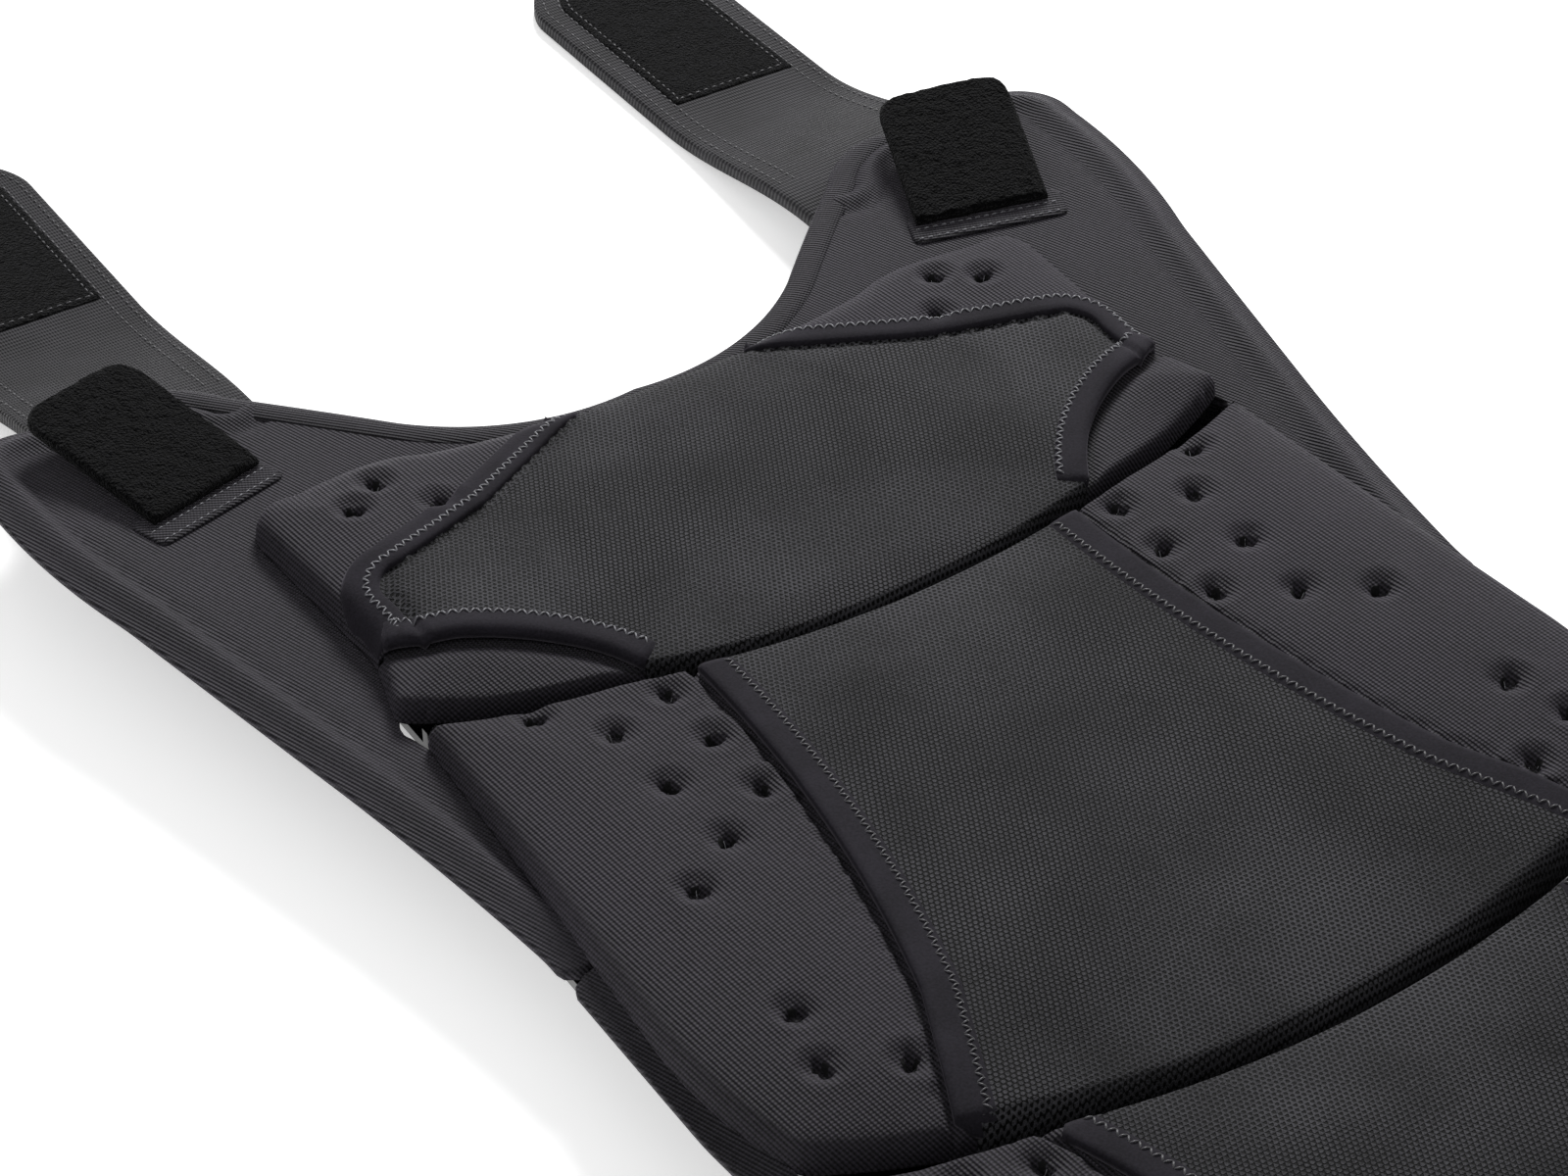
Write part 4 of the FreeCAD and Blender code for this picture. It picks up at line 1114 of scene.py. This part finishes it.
def make_straps():
    """Shoulder straps with their seams and loop patches."""
    middle = (STRAP_INNER + STRAP_OUTER) / 2
    for side, mark in SIDES:
        plan = trace((STRAP_INNER, 152), (STRAP_INNER, STRAP_END - 24),
                     ((middle, STRAP_END), (STRAP_OUTER, STRAP_END - 24)), (STRAP_OUTER, 140),
                     (STRAP_INNER + 16, 140))
        plan = softened(on_side(plan, side), 1)
        strap = slab(f"strap_{mark}", plan, strap_top, STRAP_THICK)
        bend = JOINTS[f"strap_fold_{mark}"]["pos_m"][1]
        body = f"strap_{mark}"

        fold = ("shoulders", body, (0, bend - STRAP_FOLD_HALF, STRAP_FOLD_LEVEL),
                (0, bend + STRAP_FOLD_HALF, STRAP_FOLD_LEVEL))
        folding(strap, "strap_fabric", fold, [f"shoulder_strap_{mark}", f"strap_root_{mark}"])
        for k, margin in enumerate((3.0, 7.5)):
            line = trace((STRAP_INNER + margin, 176), (STRAP_INNER + margin, STRAP_END - 24),
                         ((middle, STRAP_END - margin), (STRAP_OUTER - margin, STRAP_END - 24)),
                         (STRAP_OUTER - margin, 176))
            seam = running_stitch(f"strap_{mark}_seam_{k}", on_side(line, side), strap_top)
            folding(seam, "strap_fabric", fold, material=STITCH_DARK)
        plan = trace((STRAP_INNER + 8, 240), (STRAP_INNER + 8, STRAP_END - 26),
                     ((middle, STRAP_END - 8), (STRAP_OUTER - 8, STRAP_END - 26)),
                     (STRAP_OUTER - 8, 240), (STRAP_INNER + 8, 240))[:-1]
        pile_patch(f"strap_{mark}_loop", on_side(plan, side), lambda p: strap_top(p) + 0.9,
                   1.0, "loop_pile", body, [f"strap_loop_patch_{mark}"])


def pile_patch(name, outline, top, thickness, slot_name, body, nodes, roughness=0.16):
    """A patch of loop or hook tape with an uneven pile and a sewn rim."""
    verts, faces = cut_cloth(outline, spacing=1.7, rings=(0.4, 1.2, 2.2))
    rng = np.random.default_rng(len(name))
    pile_height = rng.normal(0, roughness, len(verts))

    def over(points):
        gap = distance(points, outline)
        rim = 0.45 * np.exp(-((gap - 2.0) / 0.8) ** 2)
        roll = 0.6 * (1 - np.clip(gap / 0.9, 0, 1))
        return top(points) + pile_height[:len(points)] - rim - roll
    piece = shell(name, verts, faces, over, lambda p: top(p) - thickness)
    dress(piece, slot_name, body, nodes)
    line = inset(outline, 2.0)
    seam = running_stitch(name + "_seam", line + line[:1], lambda p: top(p) - 0.35, pitch=2.8)
    dress(seam, slot_name, body, material=STITCH_DARK)


def make_belt():
    """Both belt halves with their seams, loop fields and the hook closure."""
    for side, mark in SIDES:
        body = f"belt_{mark}"
        plan = trace((112, -316), (121, -318), ((170, -322), (240, -330)), (390, -334),
                     ((408, -338), (419.5, -352)), (419.5, -384), ((408, -396), (390, -400)),
                     (240, -404), ((170, -412), (121, -418)), (112, -419))
        plan = softened(on_side(plan, side), 1)
        belt = slab(f"belt_{mark}_band", plan, belt_top, BELT_THICK)
        bend = abs(JOINTS[f"belt_fold_{mark}"]["pos_m"][0])

        fold = ("lumbar", body, (side * (bend - BELT_FOLD_HALF), 0, HINGE_LEVEL),
                (side * (bend + BELT_FOLD_HALF), 0, HINGE_LEVEL))
        folding(belt, "belt_elastic", fold, [f"belt_half_{mark}"])
        for k, (near, far) in enumerate(((-322, -338), (-414, -396))):
            shift = 4.0 if k == 0 else -4.0
            line = trace((124, near), (240, -330 - shift if k == 0 else -404 - shift),
                         (396, far))
            seam = running_stitch(f"belt_{mark}_seam_{k}", on_side(line, side), belt_top)
            folding(seam, "belt_elastic", fold, material=STITCH_DARK)
        field = trace((196, -338), (400, -342), (400, -392), (196, -398), (196, -338))[:-1]
        field = on_side(field, side)
        verts, faces = cut_cloth(field, spacing=4.0, rings=(0.6, 2.0))
        loop = shell(f"belt_{mark}_loop", verts, faces, lambda p: np.full(len(p), 1.0),
                     lambda p: 0.05 + 0.5 * (1 - np.clip(distance(p, field) / 1.0, 0, 1)))
        dress(loop, "loop_pile", body, [f"belt_loop_field_{mark}"])
    hook = trace((348, -342), (408, -346), (408, -390), (348, -394), (348, -342))[:-1]
    pile_patch("belt_hook", softened(hook, 3), lambda p: np.full(len(p), 6.1), 1.2, "hook_pile",
               "belt_right", ["belt_hook_closure"])


# ------------------------------------------------------------------ hook tabs
TAB_LEAN, TAB_RISE = math.radians(21.0), math.radians(11.0)
TAB_FOOT = (116.5, 121.0)
TAB_HALF, TAB_LENGTH = 18.5, 48.0


def on_tab(side, rise, local):
    """Points (across, along, up) on a tab's own frame to pattern millimetres."""
    x, y, z = np.array(local, float).T
    y, z = y * math.cos(rise) - z * math.sin(rise), y * math.sin(rise) + z * math.cos(rise)
    lean = -side * TAB_LEAN
    x, y = x * math.cos(lean) - y * math.sin(lean), x * math.sin(lean) + y * math.cos(lean)
    slope = -side * TAB_FOOT[0] / DISH_AXIS
    x, z = x * math.cos(slope) + z * math.sin(slope), -x * math.sin(slope) + z * math.cos(slope)
    return np.stack([side * TAB_FOOT[0] + x, TAB_FOOT[1] + y,
                     float(dish(TAB_FOOT[0], CARRIER_TOP)) + z], 1)


def moved_piece(piece, side, rise):
    """Takes a piece that was made flat at the origin to its place on a tab."""
    flat = np.array([v.co for v in piece.data.vertices], float) * 1000
    flat[:, 1] -= SHIFT
    for vertex, place in zip(piece.data.vertices, to_row(on_tab(side, rise, flat))):
        vertex.co = place
    piece.data.update()
    return piece


def make_tabs():
    """Hook tabs that stand up from the lobes and the sewn patches under their feet."""
    for side, mark in SIDES:
        plan = trace((-TAB_HALF, 0.6), (TAB_HALF, 0.6), (TAB_HALF, TAB_LENGTH - 7),
                     ((TAB_HALF - 2, TAB_LENGTH - 2), (TAB_HALF - 7, TAB_LENGTH)),
                     (7 - TAB_HALF, TAB_LENGTH),
                     ((2 - TAB_HALF, TAB_LENGTH - 2), (-TAB_HALF, TAB_LENGTH - 7)),
                     (-TAB_HALF, 0.6))[:-1]
        verts, faces = cut_cloth(plan, spacing=1.3, rings=(0.35, 0.9, 1.7))
        rng = np.random.default_rng(7 + side)
        tufts = rng.normal(0, 0.22, len(verts))

        def over(points):
            gap = distance(points, plan)
            curl = 0.5 * np.sin((points[:, 0] + 9) / 9.0) * points[:, 1] / TAB_LENGTH
            roll = 1.3 * (1 - np.sqrt(np.clip(1 - (1 - np.clip(gap / 1.6, 0, 1)) ** 2, 0, 1)))
            return 4.0 + curl + tufts[:len(points)] - roll

        def under(points):
            return 1.35 + 0.5 * np.sin((points[:, 0] + 9) / 9.0) * points[:, 1] / TAB_LENGTH
        tab = moved_piece(shell(f"hook_tab_{mark}_pile", verts, faces, over, under),
                          side, TAB_RISE)
        dress(tab, "hook_pile", f"tab_{mark}", [f"hook_tab_{mark}"])

        right = 22.5 if side > 0 else 20.5
        left = -20.5 if side > 0 else -22.5
        plan = softened(trace((left, -6.8), (right, -6.8), (right, 5.0), (left, 5.0),
                              (left, -6.8))[:-1], 1)
        patch = slab(f"tab_patch_{mark}_cloth", plan, lambda p: np.full(len(p), 1.1), 0.9,
                     spacing=2.2, rings=(0.4, 1.2), edge=0.8, drop=0.5)
        moved_piece(patch, side, 0.0)
        dress(patch, "patch_fabric", "shoulders", [f"tab_patch_{mark}"])
        for k, margin in enumerate((1.3, 5.6)):
            line = [(left + 1.3, -6.8 + margin), (right - 1.3, -6.8 + margin)]
            seam = running_stitch(f"tab_patch_{mark}_seam_{k}", line,
                                  lambda p: np.full(len(p), 1.1), pitch=2.4, radius=0.2)
            moved_piece(seam, side, 0.0)
            dress(seam, "patch_fabric", "shoulders", material=STITCH_LIGHT)


make_pads()
make_carrier()
make_straps()
make_belt()
make_tabs()


# ------------------------------------------------------------------ carried-over hard parts
for label in ("shoulder_plate", "upper_back_plate", "lower_back_plate", "lumbar_plate"):
    plate = frame["nodes"][label]
    plate.data.materials.clear()
    plate.data.materials.append(LOOKS["hard_plate"])
for label in ("upper_hinge_rivets", "middle_hinge_rivets", "lower_hinge_rivets"):
    rivets = frame["nodes"][label]
    rivets.data.materials.clear()
    rivets.data.materials.append(LOOKS["rivet_steel"])
for label, cad in frame["nodes"].items():
    slot_name = next(s["material_slot"] for s in frame["record"]["subparts"]
                     if s["node"] == label)
    if slot_name in LOOKS and not cad.hide_render:
        cad.data.materials.clear()
        cad.data.materials.append(LOOKS[slot_name])


# ------------------------------------------------------------------ stage, light and camera
def make_stage():
    """A flat pale floor under and behind the object."""
    half, back = 3.0, 3.0
    mesh = bpy.data.meshes.new("floor")
    mesh.from_pydata([(-half, -half, 0), (half, -half, 0), (half, back, 0), (-half, back, 0)],
                     [], [(0, 1, 2, 3)])
    floor = bpy.data.objects.new("floor", mesh)
    bpy.context.scene.collection.objects.link(floor)
    material, _, _ = shader("floor_paper", (0.95, 0.95, 0.95), 0.8,
                                        Emission_Color=(1, 1, 1, 1), Emission_Strength=0.45)
    floor.data.materials.append(material)
    floor.location.z = -0.0004


def area_light(name, place, target, size, power):
    """A soft box that points at a target."""
    light = bpy.data.lights.new(name, "AREA")
    light.shape = "DISK"
    light.size = size
    light.energy = power
    lamp = bpy.data.objects.new(name, light)
    bpy.context.scene.collection.objects.link(lamp)
    lamp.location = place
    lamp.rotation_euler = (Vector(target) - Vector(place)).to_track_quat("-Z", "Y").to_euler()


make_stage()
area_light("key_back_right", (0.8, 1.05, 1.0), (0, 0.05, 0), 0.55, 30)
area_light("fill_left", (-1.4, 0.3, 1.3), (0, 0, 0), 1.2, 5)
area_light("front_soft", (-0.5, -1.6, 1.4), (0, 0, 0), 1.5, 3)
world = bpy.data.worlds.new("studio")
world.use_nodes = True
world.node_tree.nodes["Background"].inputs[0].default_value = (1, 1, 1, 1)
world.node_tree.nodes["Background"].inputs[1].default_value = 0.42
bpy.context.scene.world = world
bpy.context.scene.view_settings.view_transform = "Standard"

AZIMUTH, ELEVATION = -33.02, 38.3
camera = bpy.data.objects.new("camera", bpy.data.cameras.new("camera"))
bpy.context.scene.collection.objects.link(camera)
camera.data.lens = 85.8
camera.data.sensor_width = 36.0
camera.data.shift_x = 0.0025
camera.data.shift_y = -0.0144
turn, lift = math.radians(AZIMUTH), math.radians(ELEVATION)
back = Vector((math.sin(turn) * math.cos(lift), -math.cos(turn) * math.cos(lift), math.sin(lift)))
camera.location = Vector((-0.3962, (-566.7 + SHIFT) / 1000, 0.5771))
camera.rotation_mode = "QUATERNION"
camera.rotation_quaternion = (-back).to_track_quat("-Z", "Y")
bpy.context.scene.camera = camera
